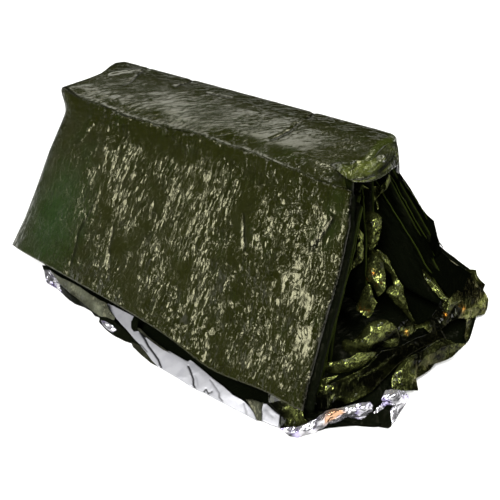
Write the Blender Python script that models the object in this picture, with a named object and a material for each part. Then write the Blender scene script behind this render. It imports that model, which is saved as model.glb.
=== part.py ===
"""Emergency foil blanket, folded: a strip of metallised film, ten leaves thick, laid back and forth
and stood up on its edges. One closed body. Sizes in millimetres, built in metres, +Z up, +X along
the strip's folds towards the end where they fan out."""

from collections import namedtuple

import bmesh
import bpy
import numpy as np

MM = 0.001

# The strip
SHEET = 1.2             # thickness of the ten leaves pressed together
WRAP_STEP = 3.4         # from one nested wrap to the next, measured across the sheet
WRAPS = 3               # wraps that go over the top of the bundle
WRAP_FOOT_Z = (6.9, 4.6, 7.4)       # where each wrap ends at the front
FOLD_GAP = 3.2          # between the two plies of a tight fold, centre to centre

# Outline of the bundle across its folds: front fold, front ridge, back ridge, back fold
TOP_HALF, TOP_Z = 19.8, 58.9
OUTLINE = ((-74.7, 6.9), (-TOP_HALF, TOP_Z), (TOP_HALF, TOP_Z), (68.0, 8.5))
FLOOR_BACK_Y = 59.0     # where the ply on the floor starts to turn up into the back

# Pleats under the wraps
PLEAT_TOP_Z = 47.4
PLEAT_LOW_Z = 4.8
PLEAT_TOP_PITCH = 6.4
PLEAT_LAST_Y = 54.0     # free edge of the strip, at the back

STATIONS = 18           # sections from the left end to the right end
SWING_X = 45.0          # from here to the right the pleats and the hem swing out of line

# Where the pleats end on the right: the upward folds, and the lower folds that have swung forward.
PLEAT_TOPS_X = (76.0, 76.6, 77.2, 77.6, 76.4, 73.8)
PLEAT_LOWS = (          # x, y, z
    (89.0, -61.0, 6.0),
    (92.0, -52.0, 6.0),
    (98.0, -38.0, 7.0),
    (104.0, -22.0, 8.0),
    (112.0, -6.0, 9.5),
    (111.0, 15.0, 10.0),
    (98.5, 36.0, 5.0),
)

# Left end of the front face, from the bottom fold up to the ridge.
FRONT_END = (           # share of the way up, left x
    (0.0, -62.8), (0.2, -62.2), (0.4, -63.2), (0.62, -65.0), (0.86, -65.4), (1.0, -70.6),
)

# Both ends of the top face, from the front ridge to the back one.
TOP_ENDS = (            # y, left x, right x
    (-19.8, -71.2, 71.0),
    (-12.0, -71.2, 67.0),
    (-5.0, -69.2, 70.2),
    (1.2, -67.8, 70.8),
    (8.0, -70.4, 70.5),
    (15.0, -73.4, 72.6),
    (19.8, -71.6, 71.4),
)

# Front hem of the ply that lies on the floor.
HEM = (                 # x, y
    (-62.0, -62.0), (-44.0, -70.5), (-28.0, -75.2), (0.0, -78.2),
    (33.0, -81.9), (51.0, -82.3), (67.0, -80.9), (88.0, -77.8),
)

# Right-hand hem of that ply, flared and crumpled, from the front corner round to the back.
FLARE = (               # x, y, z
    (87.8, -77.8, 0.0), (94.0, -70.4, 1.6), (102.3, -64.0, 0.0), (111.0, -59.1, 0.0),
    (112.0, -48.0, 2.4), (114.0, -35.0, 3.5), (119.0, -21.0, 2.0), (121.5, -8.0, 4.0),
    (123.6, 6.0, 1.5), (122.0, 18.0, 4.0), (114.5, 29.5, 3.0), (99.0, 37.0, 1.0),
    (84.0, 50.0, 0.0), (68.0, 60.0, 0.0),
)

# One line of the strip running along X: its ends, its place across the bundle, the place its right
# end has swung to, and how far it follows the front hem (1 at the hem, 0 elsewhere).
Line = namedtuple("Line", "left right y z end_y end_z hem")


def smooth(value):
    value = np.clip(value, 0.0, 1.0)
    return value * value * (3.0 - 2.0 * value)


def column(rows, key, index):
    """Reads one column of a table at a value of its first column."""
    rows = np.array(rows)
    return float(np.interp(key, rows[:, 0], rows[:, index]))


def line(left, right, point, end=None, hem=0.0):
    end = point if end is None else end
    return Line(left, right, point[0], point[1], end[0], end[1], hem)


def inset(depth):
    """The outline of the bundle moved inwards by depth."""
    corners = np.array(OUTLINE)
    way = np.diff(corners, axis=0)
    way /= np.linalg.norm(way, axis=1)[:, None]
    side = np.column_stack([way[:, 1], -way[:, 0]]) * depth
    points = [corners[0] + side[0]]
    for i in range(2):
        across = way[i, 0] * way[i + 1, 1] - way[i, 1] * way[i + 1, 0]
        gap = side[i + 1] - side[i]
        along = (gap[0] * way[i + 1, 1] - gap[1] * way[i + 1, 0]) / across
        points.append(corners[i + 1] + side[i] + way[i] * along)
    points.append(corners[3] + side[2])
    return points


def floor_ply():
    """Lies on the floor from the front hem to the back; its right end follows the flared hem."""
    lines = []
    for i, (x, y, z) in enumerate(FLARE):
        share = i / (len(FLARE) - 1)
        start = column(HEM, 0.0, 1) * (1.0 - share) + FLOOR_BACK_Y * share
        lines.append(line(-62.0, x, (start, SHEET / 2), (y, z + SHEET / 2), 1.0 - share))
    return lines


def wrap(index):
    """One wrap over the top: front slope, top and back slope, the next wrap the other way round."""
    low_front, front, back, low_back = inset(SHEET / 2 + index * WRAP_STEP)
    reach = 2.4 * index
    slope, top, rear = [], [], []
    foot = (WRAP_FOOT_Z[index] - low_front[1]) / (front[1] - low_front[1]) + 0.02
    for share in (foot, 0.27, 0.5, 0.73, 0.94):
        down = 1.0 - share
        slope.append(line(column(FRONT_END, share, 1) + index, 71.0 + reach + (6.4 + 2.0 * index) * down,
                          low_front + (front - low_front) * share))
    for share in (0.16, 0.32, 0.5, 0.72, 0.96):
        y = TOP_HALF * (2.0 * share - 1.0)
        top.append(line(column(TOP_ENDS, y, 1) + 1.2 * index, column(TOP_ENDS, y, 2) + reach,
                          front + (back - front) * share))
    for share in (0.035, 0.27, 0.5, 0.73, 0.96):
        rear.append(line(-71.6 + 2.0 * share + index, 71.4 + 0.5 * reach - (5.0 + index) * share,
                         back + (low_back - back) * share))
    faces = [slope, top, rear]
    return faces if index % 2 else [face[::-1] for face in faces[::-1]]


def pleats():
    """Plies that go up and down under the wraps, from the front to the back, one list for each."""
    count = len(PLEAT_TOPS_X)
    low_front = inset(SHEET / 2 + WRAPS * WRAP_STEP)[0]
    low_y = np.linspace(low_front[0] + 5.5, PLEAT_LAST_Y, count + 1)
    half = FOLD_GAP / 2
    plies = []
    for i, top_x in enumerate(PLEAT_TOPS_X):
        top_y = (i - (count - 1) / 2) * PLEAT_TOP_PITCH
        left = -67.5 + 1.8 * (i % 3)
        for side, low in ((-1, i), (1, i + 1)):
            shift = 0.0 if low in (0, count) else -side * half
            x, y, z = PLEAT_LOWS[low]
            foot = line(left + 3.0, x, (low_y[low] + shift, PLEAT_LOW_Z), (y + shift, z))
            head = line(left, top_x, (top_y + side * half, PLEAT_TOP_Z))
            middle = Line(*(np.array(foot) + np.array(head)) / 2.0)
            plies.append([foot, middle, head] if side < 0 else [head, middle, foot])
    return plies


def turn(before, after, steps=4):
    """The round fold from the end of one ply to the start of the next."""
    a, b = np.array(before[-1]), np.array(after[0])
    made = [a + (b - a) * i / steps for i in range(1, steps)]
    for first in (2, 4):            # (y, z) along the bundle, then at its right end
        p, q = a[first:first + 2], b[first:first + 2]
        out = p - np.array(before[-2])[first:first + 2]
        back = q - np.array(after[1])[first:first + 2]
        out, back = out / np.linalg.norm(out), back / np.linalg.norm(back)
        size = np.linalg.norm(q - p) * (0.36 + 0.28 * max(0.0, out @ back))
        r, s = p + out * size, q + back * size
        for i, target in enumerate(made, start=1):
            t = i / steps
            target[first:first + 2] = ((1 - t) ** 3 * p + 3 * t * (1 - t) ** 2 * r
                                       + 3 * t * t * (1 - t) * s + t ** 3 * q)
    return [Line(*values) for values in made]


def strip_lines():
    """All lines of the strip in order, from the front hem to the free edge inside the bundle."""
    plies = [floor_ply()] + [face for index in range(WRAPS) for face in wrap(index)] + pleats()
    lines = list(plies[0])
    for before, after in zip(plies, plies[1:]):
        lines += turn(before, after) + list(after)
    return lines


def unevenness(x, y, z):
    """Soft waves that move every ply together: along the front ridge, and in the fanned end."""
    ridge = smooth((z - 3.0) / 40.0) * smooth((6.0 - y) / 26.0)
    up = 0.6 * np.sin(x / 11.0) + 0.4 * np.sin(x / 6.3 + 1.0)
    across = 1.1 * np.sin(x / 17.0 + 0.6) + 0.5 * np.sin(x / 6.1 + z / 15.0)
    fan = smooth((x - 62.0) / 26.0) * smooth((z - 3.0) / 12.0) * 1.8 * np.sin(z / 6.0 + x / 9.0)
    return y + across * ridge + fan, z + up * ridge


def grid():
    """Both faces of the strip as arrays of points: line, station, xyz."""
    lines = strip_lines()
    faces = np.zeros((2, len(lines), STATIONS, 3))
    for station in range(STATIONS):
        t = 1.0 - (1.0 - station / (STATIONS - 1)) ** 1.25
        middle = []
        for one in lines:
            x = one.left + (one.right - one.left) * t
            swing = smooth((x - SWING_X) / (one.right - SWING_X))
            y = one.y + one.hem * (column(HEM, x, 1) - column(HEM, 0.0, 1)) * (1.0 - swing)
            middle.append((x, y + (one.end_y - y) * swing, one.z + (one.end_z - one.z) * swing))
        middle = np.array(middle)
        along = np.gradient(middle[:, 1:], axis=0)
        along /= np.linalg.norm(along, axis=1)[:, None]
        normal = np.column_stack([-along[:, 1], along[:, 0]])
        for face, way in enumerate((-0.5, 0.5)):
            y, z = (middle[:, 1:] + normal * way * SHEET).T
            y, z = unevenness(middle[:, 0], y, z)
            faces[face, :, station] = np.column_stack([middle[:, 0], y, z])
    return faces


def build_strip(name):
    """Joins the two faces along both edges and both ends into one closed body."""
    faces = grid()
    loop = np.concatenate([faces[0], faces[1][::-1]])       # once round the section
    low, high = loop.reshape(-1, 3).min(axis=0), loop.reshape(-1, 3).max(axis=0)
    loop -= np.array([(low[0] + high[0]) / 2, (low[1] + high[1]) / 2, low[2]])
    mesh = bmesh.new()
    verts = [[mesh.verts.new(point * MM) for point in row] for row in loop]
    count, half = len(verts), len(verts) // 2
    for i in range(count):
        j = (i + 1) % count
        for k in range(STATIONS - 1):
            mesh.faces.new((verts[i][k], verts[i][k + 1], verts[j][k + 1], verts[j][k]))
    for i in range(half - 1):
        j = count - 1 - i
        for k in (0, STATIONS - 1):
            mesh.faces.new((verts[i][k], verts[i + 1][k], verts[j - 1][k], verts[j][k]))
    bmesh.ops.triangulate(mesh, faces=mesh.faces[:])
    bmesh.ops.recalc_face_normals(mesh, faces=mesh.faces[:])
    data = bpy.data.meshes.new(name)
    mesh.to_mesh(data)
    mesh.free()
    strip = bpy.data.objects.new(name, data)
    bpy.context.scene.collection.objects.link(strip)
    return strip


def film_material():
    """Olive metallised polyester film."""
    material = bpy.data.materials.new("olive_metallised_film")
    material.use_nodes = True
    shader = material.node_tree.nodes["Principled BSDF"]
    shader.inputs["Base Color"].default_value = (0.035, 0.042, 0.012, 1.0)
    shader.inputs["Roughness"].default_value = 0.25
    shader.inputs["Metallic"].default_value = 0.0
    shader.inputs["IOR"].default_value = 1.64
    return material


for old in list(bpy.data.objects):
    bpy.data.objects.remove(old)

foil_blanket = build_strip("foil_blanket")
foil_blanket.data.materials.append(film_material())
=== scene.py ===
import math

import bpy
import numpy as np
from mathutils import Matrix, Vector
from mathutils.geometry import delaunay_2d_cdt


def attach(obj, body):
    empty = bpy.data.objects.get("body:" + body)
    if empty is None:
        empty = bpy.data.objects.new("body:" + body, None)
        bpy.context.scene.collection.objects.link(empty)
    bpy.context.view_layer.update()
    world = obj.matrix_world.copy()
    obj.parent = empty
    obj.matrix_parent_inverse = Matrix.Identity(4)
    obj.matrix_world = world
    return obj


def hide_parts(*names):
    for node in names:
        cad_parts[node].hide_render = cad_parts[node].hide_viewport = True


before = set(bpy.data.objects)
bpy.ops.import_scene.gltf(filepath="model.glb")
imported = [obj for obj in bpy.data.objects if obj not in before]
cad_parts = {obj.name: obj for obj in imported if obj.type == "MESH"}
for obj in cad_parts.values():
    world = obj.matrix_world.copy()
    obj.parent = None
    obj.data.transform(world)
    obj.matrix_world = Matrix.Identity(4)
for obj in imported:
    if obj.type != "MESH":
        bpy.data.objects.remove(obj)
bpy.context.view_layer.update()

# ---------------------------------------------------------------------------------------------
# Outer leaf. The blanket is one sheet of metallised polyester film, olive lacquer outside and bare
# metal inside, folded lengthwise ten deep to a strip and laid back and forth to a ridge. This is
# the strip's last leaf: from its fold at the front, over the ridge, and down the back.

MM = 0.001
ORIGIN = np.array([25.703, -7.066, 0.0])    # middle of the bundle's box, from the middle of the top
TOP_HALF, TOP_Z = 19.8, 58.9
OUTLINE = ((-74.7, 6.9), (-TOP_HALF, TOP_Z), (20.6, 59.4), (68.0, 8.5))     # y, z of the cross-section
STRIP_LEFT, STRIP_WIDTH = -71.0, 143.0      # on the flat strip
SWING_X = 45.0                              # the plies start to fan out here
WRAP_PITCH = 3.4                            # from wrap to wrap
WRAP_FEET_Z = 6.9, 4.6, 7.4                 # where each wrap's front ends
LEFT, RIGHT, Y, Z, END_Y, END_Z, HEM_SHARE = range(7)

FRONT_ENDS = (          # share of the way up the front, left x, right x
    (0.0, -62.8, 86.0), (0.2, -62.2, 83.6), (0.4, -63.2, 80.8), (0.62, -65.0, 78.8),
    (0.82, -65.3, 76.4), (0.88, -65.8, 74.6), (0.92, -67.6, 73.6), (1.0, -71.4, 71.6),
)
TOP_ENDS = (            # y, left x, right x
    (-19.8, -71.4, 71.0), (-12.0, -71.2, 67.0), (-5.0, -69.2, 70.2), (1.2, -67.8, 70.8),
    (8.0, -70.4, 70.5), (15.0, -73.4, 72.6), (19.8, -71.6, 71.4),
)
TOP_SAG = (             # share across the top, z
    (0.0, -1.1), (0.2, -0.3), (0.5, 0.85), (0.66, 1.35), (0.74, 1.1), (1.0, -0.3),
)
HEM = (                 # x, y of the front hem
    (-62.0, -62.0), (-44.0, -70.5), (-28.0, -75.2), (0.0, -78.2),
    (33.0, -81.9), (51.0, -82.3), (67.0, -80.9), (88.0, -77.8),
)


def smooth(value):
    value = np.clip(value, 0.0, 1.0)
    return value * value * (3.0 - 2.0 * value)


def column(rows, key, index):
    """Reads one column of a table at the values of its first column."""
    rows = np.array(rows)
    return np.interp(key, rows[:, 0], rows[:, index])


def line(left, right, point, end=None, hem=0.0):
    """One line of the strip along X: its ends, its place, and where its right end has swung to."""
    end = point if end is None else end
    return np.array([left, right, point[0], point[1], end[0], end[1], hem])


def inset(depth):
    """The outline of the bundle moved inwards by depth."""
    corners = np.array(OUTLINE)
    way = np.diff(corners, axis=0)
    way /= np.linalg.norm(way, axis=1)[:, None]
    side = np.column_stack([way[:, 1], -way[:, 0]]) * depth
    points = [corners[0] + side[0]]
    for i in range(2):
        across = way[i, 0] * way[i + 1, 1] - way[i, 1] * way[i + 1, 0]
        gap = side[i + 1] - side[i]
        along = (gap[0] * way[i + 1, 1] - gap[1] * way[i + 1, 0]) / across
        points.append(corners[i + 1] + side[i] + way[i] * along)
    points.append(corners[3] + side[2])
    return points


def turn(before, after, steps=8):
    """The round fold from the end of one ply to the start of the next."""
    a, b = before[-1], after[0]
    made = [a + (b - a) * i / steps for i in range(1, steps)]
    for first in (Y, END_Y):
        p, q = a[first:first + 2], b[first:first + 2]
        out, back = p - before[-2][first:first + 2], q - after[1][first:first + 2]
        out, back = out / np.linalg.norm(out), back / np.linalg.norm(back)
        size = np.linalg.norm(q - p) * (0.36 + 0.28 * max(0.0, out @ back))
        r, s = p + out * size, q + back * size
        for i, target in enumerate(made, start=1):
            t = i / steps
            target[first:first + 2] = ((1 - t) ** 3 * p + 3 * t * (1 - t) ** 2 * r
                                       + 3 * t * t * (1 - t) * s + t ** 3 * q)
    return made


def joined(plies, spacing):
    """The lines of several plies with their folds, at an even spacing across the strip."""
    lines = list(plies[0])
    for before, after in zip(plies, plies[1:]):
        lines += turn(before, after) + list(after)
    lines = np.array(lines)
    step = np.linalg.norm(np.diff(lines[:, Y:END_Y], axis=0), axis=1)
    along = np.concatenate([[0.0], np.cumsum(step)])
    even = np.linspace(0.0, along[-1], max(2, round(along[-1] / spacing)))
    return np.column_stack([np.interp(even, along, lines[:, i]) for i in range(7)]), even


def unevenness(x, y, z):
    """Soft waves that move every ply together: along the front ridge, and in the fanned end."""
    ridge = smooth((z - 3.0) / 40.0) * smooth((6.0 - y) / 26.0)
    up = 0.6 * np.sin(x / 11.0) + 0.4 * np.sin(x / 6.3 + 1.0)
    across = 1.1 * np.sin(x / 17.0 + 0.6) + 0.5 * np.sin(x / 6.1 + z / 15.0)
    fan = smooth((x - 62.0) / 26.0) * smooth((z - 3.0) / 12.0) * 1.8 * np.sin(z / 6.0 + x / 9.0)
    return y + across * ridge + fan, z + up * ridge


def place(lines, shares, lip=0.0):
    """Points of the strip: its lines by shares of their length, with a lip rolled down at the right end."""
    left, right = lines[:, LEFT, None], lines[:, RIGHT, None]
    x = left + (right - left) * shares[None, :]
    swing = smooth((x - SWING_X) / (right - SWING_X))
    hem = (column(HEM, x, 1) - column(HEM, 0.0, 1)) * lines[:, HEM_SHARE, None]
    y = lines[:, Y, None] + hem * (1.0 - swing)
    y = y + (lines[:, END_Y, None] - y) * swing
    z = lines[:, Z, None] + (lines[:, END_Z, None] - lines[:, Z, None]) * swing
    if lip:
        way = np.gradient(np.stack([y, z], axis=-1), axis=0)
        way /= np.linalg.norm(way, axis=-1)[..., None]
        near = np.clip(1.0 - (right - x) / (1.3 * lip), 0.0, 1.0)
        drop = lip * (1.0 - np.sqrt(1.0 - near ** 2 * 0.75))
        y, z = y + way[..., 1] * drop, z - way[..., 0] * drop
    y, z = unevenness(x, y, z)
    return np.stack([x, y, z], axis=-1)


def outward(points):
    """The unit normals of a grid of points."""
    across, along = np.gradient(points, axis=1), np.gradient(points, axis=0)
    way = np.cross(across, along)
    return way / np.maximum(np.linalg.norm(way, axis=-1, keepdims=True), 1e-9)


def meshed(name, points, faces, grain):
    """A smooth sheet of film. Its attribute grain keeps, in millimetres, the place on the film: first
    across its buckles, then along them."""
    data = bpy.data.meshes.new(name)
    data.from_pydata(((points - ORIGIN) * MM).tolist(), [], faces.tolist())
    data.attributes.new("grain", "FLOAT_VECTOR", "POINT").data.foreach_set("vector", grain.reshape(-1))
    data.polygons.foreach_set("use_smooth", np.ones(len(data.polygons), dtype=bool))
    sheet = bpy.data.objects.new(name, data)
    bpy.context.scene.collection.objects.link(sheet)
    return sheet


def cloth(name, points, grain):
    """A sheet from a grid of points."""
    rows, columns = points.shape[:2]
    index = np.arange(rows * columns).reshape(rows, columns)
    quads = np.stack([index[:-1, :-1], index[:-1, 1:], index[1:, 1:], index[1:, :-1]], axis=-1)
    return meshed(name, points.reshape(-1, 3), quads.reshape(-1, 4), grain)


def flat_place(stations, along):
    """The place of each point on the flat strip: x from the middle of the bundle, y along the section."""
    x = np.repeat(stations[None, :] * STRIP_WIDTH + STRIP_LEFT, len(along), axis=0)
    return x, np.repeat(along[:, None], len(stations), axis=1)


def paint(sheet, **layers):
    """Keeps numbers for each point of a sheet, such as how slack or how crumpled the film is there."""
    count = len(sheet.data.vertices)
    for name, values in layers.items():
        values = np.broadcast_to(np.asarray(values, dtype=np.float32).reshape(-1), count)
        layer = sheet.data.attributes.new(name, "FLOAT", "POINT")
        layer.data.foreach_set("value", np.ascontiguousarray(values))


def patches(x, y, rows, start=0.0):
    """Soft patches on a flat place: each row is x, y, radius across, radius along, and value."""
    total = np.full(np.shape(x), start, dtype=float)
    for cx, cy, rx, ry, value in rows:
        near = np.exp(-(((x - cx) / rx) ** 2 + ((y - cy) / ry) ** 2))
        total = total + (value - total) * near
    return total


def creased(points, x, y, rows):
    """Moves points along their normals, and tells how much painted shade falls in the gap: each row is a
    crease from x, y to x, y, its width and its height, which is below zero for a gap between folds."""
    rise, gap = np.zeros(x.shape), np.zeros(x.shape)
    for x0, y0, x1, y1, width, height in rows:
        way = np.array([x1 - x0, y1 - y0])
        share = ((x - x0) * way[0] + (y - y0) * way[1]) / (way @ way)
        held = np.clip(share, 0.0, 1.0)
        far = np.hypot(x - x0 - way[0] * held, y - y0 - way[1] * held) / width
        fade = smooth((share + 0.12) / 0.25) * smooth((1.12 - share) / 0.25)
        rise += height * np.exp(-far ** 2) * fade
        if height < 0.0:
            gap = np.maximum(gap, np.exp(-(1.6 * far) ** 2) * fade * min(1.0, -2.6 * height))
    return points + outward(points) * rise[..., None], gap


def node(tree, kind, inputs=(), **settings):
    """Adds a node, sets it, and fills or links its inputs."""
    made = tree.nodes.new(kind)
    for key, value in settings.items():
        setattr(made, key, value)
    for key, value in dict(inputs).items():
        if isinstance(value, bpy.types.NodeSocket):
            tree.links.new(value, made.inputs[key])
        else:
            made.inputs[key].default_value = value
    return made


def maths(operation, *values):
    """A math node in the tree of the first socket among its values."""
    tree = next(value.id_data for value in values if isinstance(value, bpy.types.NodeSocket))
    return node(tree, "ShaderNodeMath", dict(enumerate(values)), operation=operation).outputs[0]


def times(*values):
    return maths("MULTIPLY", *values)


def plus(*values):
    return maths("ADD", *values)


def minus(*values):
    return maths("SUBTRACT", *values)


def noise(at, scale, detail, **inputs):
    inputs.update({"Vector": at, "Scale": scale, "Detail": detail})
    return node(at.id_data, "ShaderNodeTexNoise", inputs).outputs


def ranged(value, low, high, to_low=0.0, to_high=1.0):
    inputs = {"Value": value, "From Min": low, "From Max": high, "To Min": to_low, "To Max": to_high}
    return node(value.id_data, "ShaderNodeMapRange", inputs).outputs[0]


def mixed(share, below, above):
    inputs = {"Factor": share, "A": below, "B": above}
    return node(share.id_data, "ShaderNodeMix", inputs, data_type="RGBA").outputs["Result"]


def attribute(tree, key, output="Fac"):
    return node(tree, "ShaderNodeAttribute", attribute_name=key).outputs[output]


def new_material(name):
    material = bpy.data.materials.new(name)
    material.use_nodes = True
    return material, material.node_tree, material.node_tree.nodes["Principled BSDF"]


def film_creasing():
    """Nodes that crease a film along its normals: long buckles where it is slack, facets where crumpled."""
    tree = bpy.data.node_groups.new("film_creasing", "GeometryNodeTree")
    face = tree.interface
    face.new_socket("Geometry", in_out="INPUT", socket_type="NodeSocketGeometry")
    for name in ("Buckle Width", "Buckle Length", "Buckle Height", "Facet Size", "Facet Height", "Seed"):
        face.new_socket(name, in_out="INPUT", socket_type="NodeSocketFloat")
    face.new_socket("Film", in_out="INPUT", socket_type="NodeSocketMaterial")
    face.new_socket("Geometry", in_out="OUTPUT", socket_type="NodeSocketGeometry")
    enter = node(tree, "NodeGroupInput").outputs

    def read(name, kind="FLOAT"):
        made = node(tree, "GeometryNodeInputNamedAttribute", {"Name": name}, data_type=kind)
        return made.outputs["Attribute"]

    grain = node(tree, "ShaderNodeSeparateXYZ", {0: read("grain", "FLOAT_VECTOR")}).outputs
    wander = noise(read("grain", "FLOAT_VECTOR"), 0.06, 1.0)["Fac"]
    wander = times(minus(wander, 0.5), 9.0)
    across = plus(grain[0], wander)
    buckle_at = node(tree, "ShaderNodeCombineXYZ", {
        "X": maths("DIVIDE", across, enter["Buckle Width"]),
        "Y": maths("DIVIDE", grain[1], enter["Buckle Length"]),
        "Z": plus(enter["Seed"], grain[2])})
    buckle = noise(buckle_at.outputs[0], 1.0, 1.0)["Fac"]
    height = times(enter["Buckle Height"], 3.0)
    buckle = times(minus(buckle, 0.5), height)
    shift = node(tree, "ShaderNodeCombineXYZ", {"X": enter["Seed"], "Y": enter["Seed"]}).outputs[0]
    facets = []
    for size, share, angle in ((1.0, 1.0, 0.6), (0.45, 0.45, -0.4)):
        wide = times(enter["Facet Size"], size)
        at = node(tree, "ShaderNodeCombineXYZ", {
            "X": maths("DIVIDE", across, wide),
            "Y": maths("DIVIDE", plus(grain[1], wander), wide), "Z": 0.0})
        at = node(tree, "ShaderNodeVectorMath", {0: at.outputs[0], 1: shift}, operation="ADD")
        at = node(tree, "ShaderNodeVectorRotate", {"Vector": at.outputs[0], "Angle": angle},
                  rotation_type="Z_AXIS")
        cell = node(tree, "ShaderNodeTexVoronoi", {"Vector": at.outputs[0], "Scale": 1.0},
                    voronoi_dimensions="2D", feature="F1", distance="MANHATTAN")
        facets.append(times(minus(cell.outputs["Distance"], 0.5), share))
    facet = times(plus(*facets), enter["Facet Height"])
    rise = plus(times(buckle, read("slack")),
                 times(facet, read("crumple")))
    normal = node(tree, "GeometryNodeInputNormal").outputs[0]
    move = node(tree, "ShaderNodeVectorMath", {0: normal, "Scale": times(rise, MM)}, operation="SCALE")
    moved = node(tree, "GeometryNodeSetPosition", {"Geometry": enter["Geometry"], "Offset": move.outputs[0]})
    real = node(tree, "GeometryNodeRealizeInstances", {"Geometry": moved.outputs[0]})
    dressed = node(tree, "GeometryNodeSetMaterial", {"Geometry": real.outputs[0], "Material": enter["Film"]})
    node(tree, "NodeGroupOutput", {"Geometry": dressed.outputs[0]})
    return tree


creasing = film_creasing()


def finish_film(sheet, film, thickness, seed, buckle=(3.2, 15.0, 0.25), facet=(5.0, 0.35)):
    """Creases a sheet of film, gives it its thickness, and turns it into a plain mesh."""
    press = sheet.modifiers.new("film_creasing", "NODES")
    press.node_group = creasing
    values = {"Buckle Width": buckle[0], "Buckle Length": buckle[1], "Buckle Height": buckle[2],
              "Facet Size": facet[0], "Facet Height": facet[1], "Seed": float(seed), "Film": film}
    for socket in creasing.interface.items_tree:
        if socket.in_out == "INPUT" and socket.name in values:
            press[socket.identifier] = values[socket.name]
    solid = sheet.modifiers.new("thickness", "SOLIDIFY")
    solid.thickness, solid.offset, solid.use_even_offset = thickness * MM, 0.0, False
    graph = bpy.context.evaluated_depsgraph_get()
    plain = bpy.data.meshes.new_from_object(sheet.evaluated_get(graph), preserve_all_data_layers=True,
                                            depsgraph=graph)
    sheet.modifiers.clear()
    sheet.data = plain
    return sheet


def linear(code):
    """An sRGB hex colour as linear RGBA."""
    parts = [int(code[i:i + 2], 16) / 255.0 for i in (1, 3, 5)]
    return tuple(c / 12.92 if c <= 0.04045 else ((c + 0.055) / 1.055) ** 2.4 for c in parts) + (1.0,)


# 12 micron polyester, vapour coated with aluminium and lacquered olive: dark and smooth, with narrow
# bright glints where tight buckles catch the light.
# Beside the glints, its colour carries painted light: tones from shaded to lit, painted sheen, painted warm
# reflections and painted shade in creases and gaps.
def olive_lacquered_film(name, olive, green, pucker=1.0, roughness=0.16, gloss=0.3, metal=None, coat=0.0):
    material, tree, shader = new_material(name)
    half = (0.5, 0.5, 0.5)

    def vectors(operation, *values, output=0):
        made = node(tree, "ShaderNodeVectorMath", dict(enumerate(values)), operation=operation)
        return made.outputs[output]

    def mapped(width, length, **inputs):
        inputs.update({"Vector": film_at, "Scale": (1 / width, 1 / length, 1.0)})
        return node(tree, "ShaderNodeMapping", inputs, vector_type="POINT").outputs[0]

    grain = attribute(tree, "grain", "Vector")
    wander = vectors("SUBTRACT", noise(grain, 0.09, 3.0)["Color"], half)
    wander = node(tree, "ShaderNodeVectorMath", {0: wander, "Scale": 3.5}, operation="SCALE").outputs[0]
    fine = noise(grain, 0.6, 1.0)
    speckle = ranged(fine["Fac"], 0.44, 0.58)
    wander = vectors("MULTIPLY_ADD", vectors("SUBTRACT", fine["Color"], half), (0.6, 0.9, 0.0), wander)
    film_at = vectors("ADD", grain, wander)

    def facets(width, length, lean, cross, shift):
        """Flat facets of that width and length in millimetres, each leaning its own way: across, and by
        cross along."""
        at = mapped(width, length, Location=(shift, shift, 0.0))
        cell = node(tree, "ShaderNodeTexVoronoi", {"Vector": at, "Scale": 1.0}, voronoi_dimensions="2D")
        off = vectors("SUBTRACT", at, cell.outputs["Position"])
        way = vectors("SUBTRACT", cell.outputs["Color"], half)
        way = vectors("MULTIPLY", way, (2 * lean * width, 2 * cross * length, 0.0))
        return vectors("DOT_PRODUCT", off, way, output="Value")

    def near_half(width, length, reach, to_low, to_high):
        """Fine lines where a stretched noise passes its middle."""
        line = noise(mapped(width, length), 1.0, 2.0)["Fac"]
        return ranged(maths("ABSOLUTE", minus(line, 0.5)), 0.0, reach, to_low, to_high)

    calm = ranged(noise(grain, 0.07, 2.0)["Fac"], 0.38, 0.55)
    puckers = plus(facets(0.85, 5.2, 0.5, 0.04, 3.0), facets(0.45, 2.3, 0.35, 0.06, 7.0))
    total = times(puckers, times(attribute(tree, "slack"), calm))
    crumples = plus(facets(3.0, 4.4, 0.4, 0.3, 1.0), facets(1.1, 1.7, 0.4, 0.35, 5.0))
    total = plus(total, times(crumples, attribute(tree, "crumple")))
    crease = near_half(3.2, 16.0, 0.03, 0.08, 0.0)
    total = minus(total, times(crease, attribute(tree, "lined")))
    thin = near_half(1.3, 6.0, 0.035, 1.0, 0.0)
    worked = maths("MAXIMUM", times(attribute(tree, "slack"), calm), attribute(tree, "crumple"))
    total = minus(total, times(thin, maths("MULTIPLY_ADD", worked, 0.05, 0.004)))
    bump = node(tree, "ShaderNodeBump", {"Height": total, "Distance": MM * pucker, "Strength": 1.0})
    tone = ranged(noise(grain, 0.12, 4.0, Roughness=0.65)["Fac"], 0.35, 0.75)
    mottle = times(minus(tone, 0.5), 0.4)
    # painted light and shade: from the olive of shaded film to the lighter green of lit film
    colour = mixed(plus(attribute(tree, "light"), mottle), linear(olive), linear(green))
    # painted shade along the fine crease lines, which are also dented in the bump
    colour = mixed(times(thin, 0.45), colour, linear("#0A0B04"))
    # painted sheen: a brighter green where the sheen attribute is set
    colour = mixed(attribute(tree, "mirror"), colour, linear("#66782A"))
    # painted warm reflections, in speckled spots
    colour = mixed(times(attribute(tree, "amber"), speckle), colour, linear("#B07426"))
    # painted shade in the gaps between folds
    colour = mixed(attribute(tree, "gap"), colour, linear("#050603"))
    tree.links.new(colour, shader.inputs["Base Color"])
    if metal is None:
        tree.links.new(attribute(tree, "mirror"), shader.inputs["Metallic"])
    else:
        shader.inputs["Metallic"].default_value = metal
    tree.links.new(bump.outputs[0], shader.inputs["Normal"])
    for key, value in (("Roughness", roughness), ("IOR", 1.5), ("Specular IOR Level", gloss),
                       ("Specular Tint", linear("#ECE8C0")), ("Coat Weight", coat), ("Coat Roughness", 0.08)):
        shader.inputs[key].default_value = value
    return material


olive_film = olive_lacquered_film("olive_lacquered_polyester_film", "#191B05", "#1A2A10",
                                  roughness=0.15, gloss=0.34)


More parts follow.
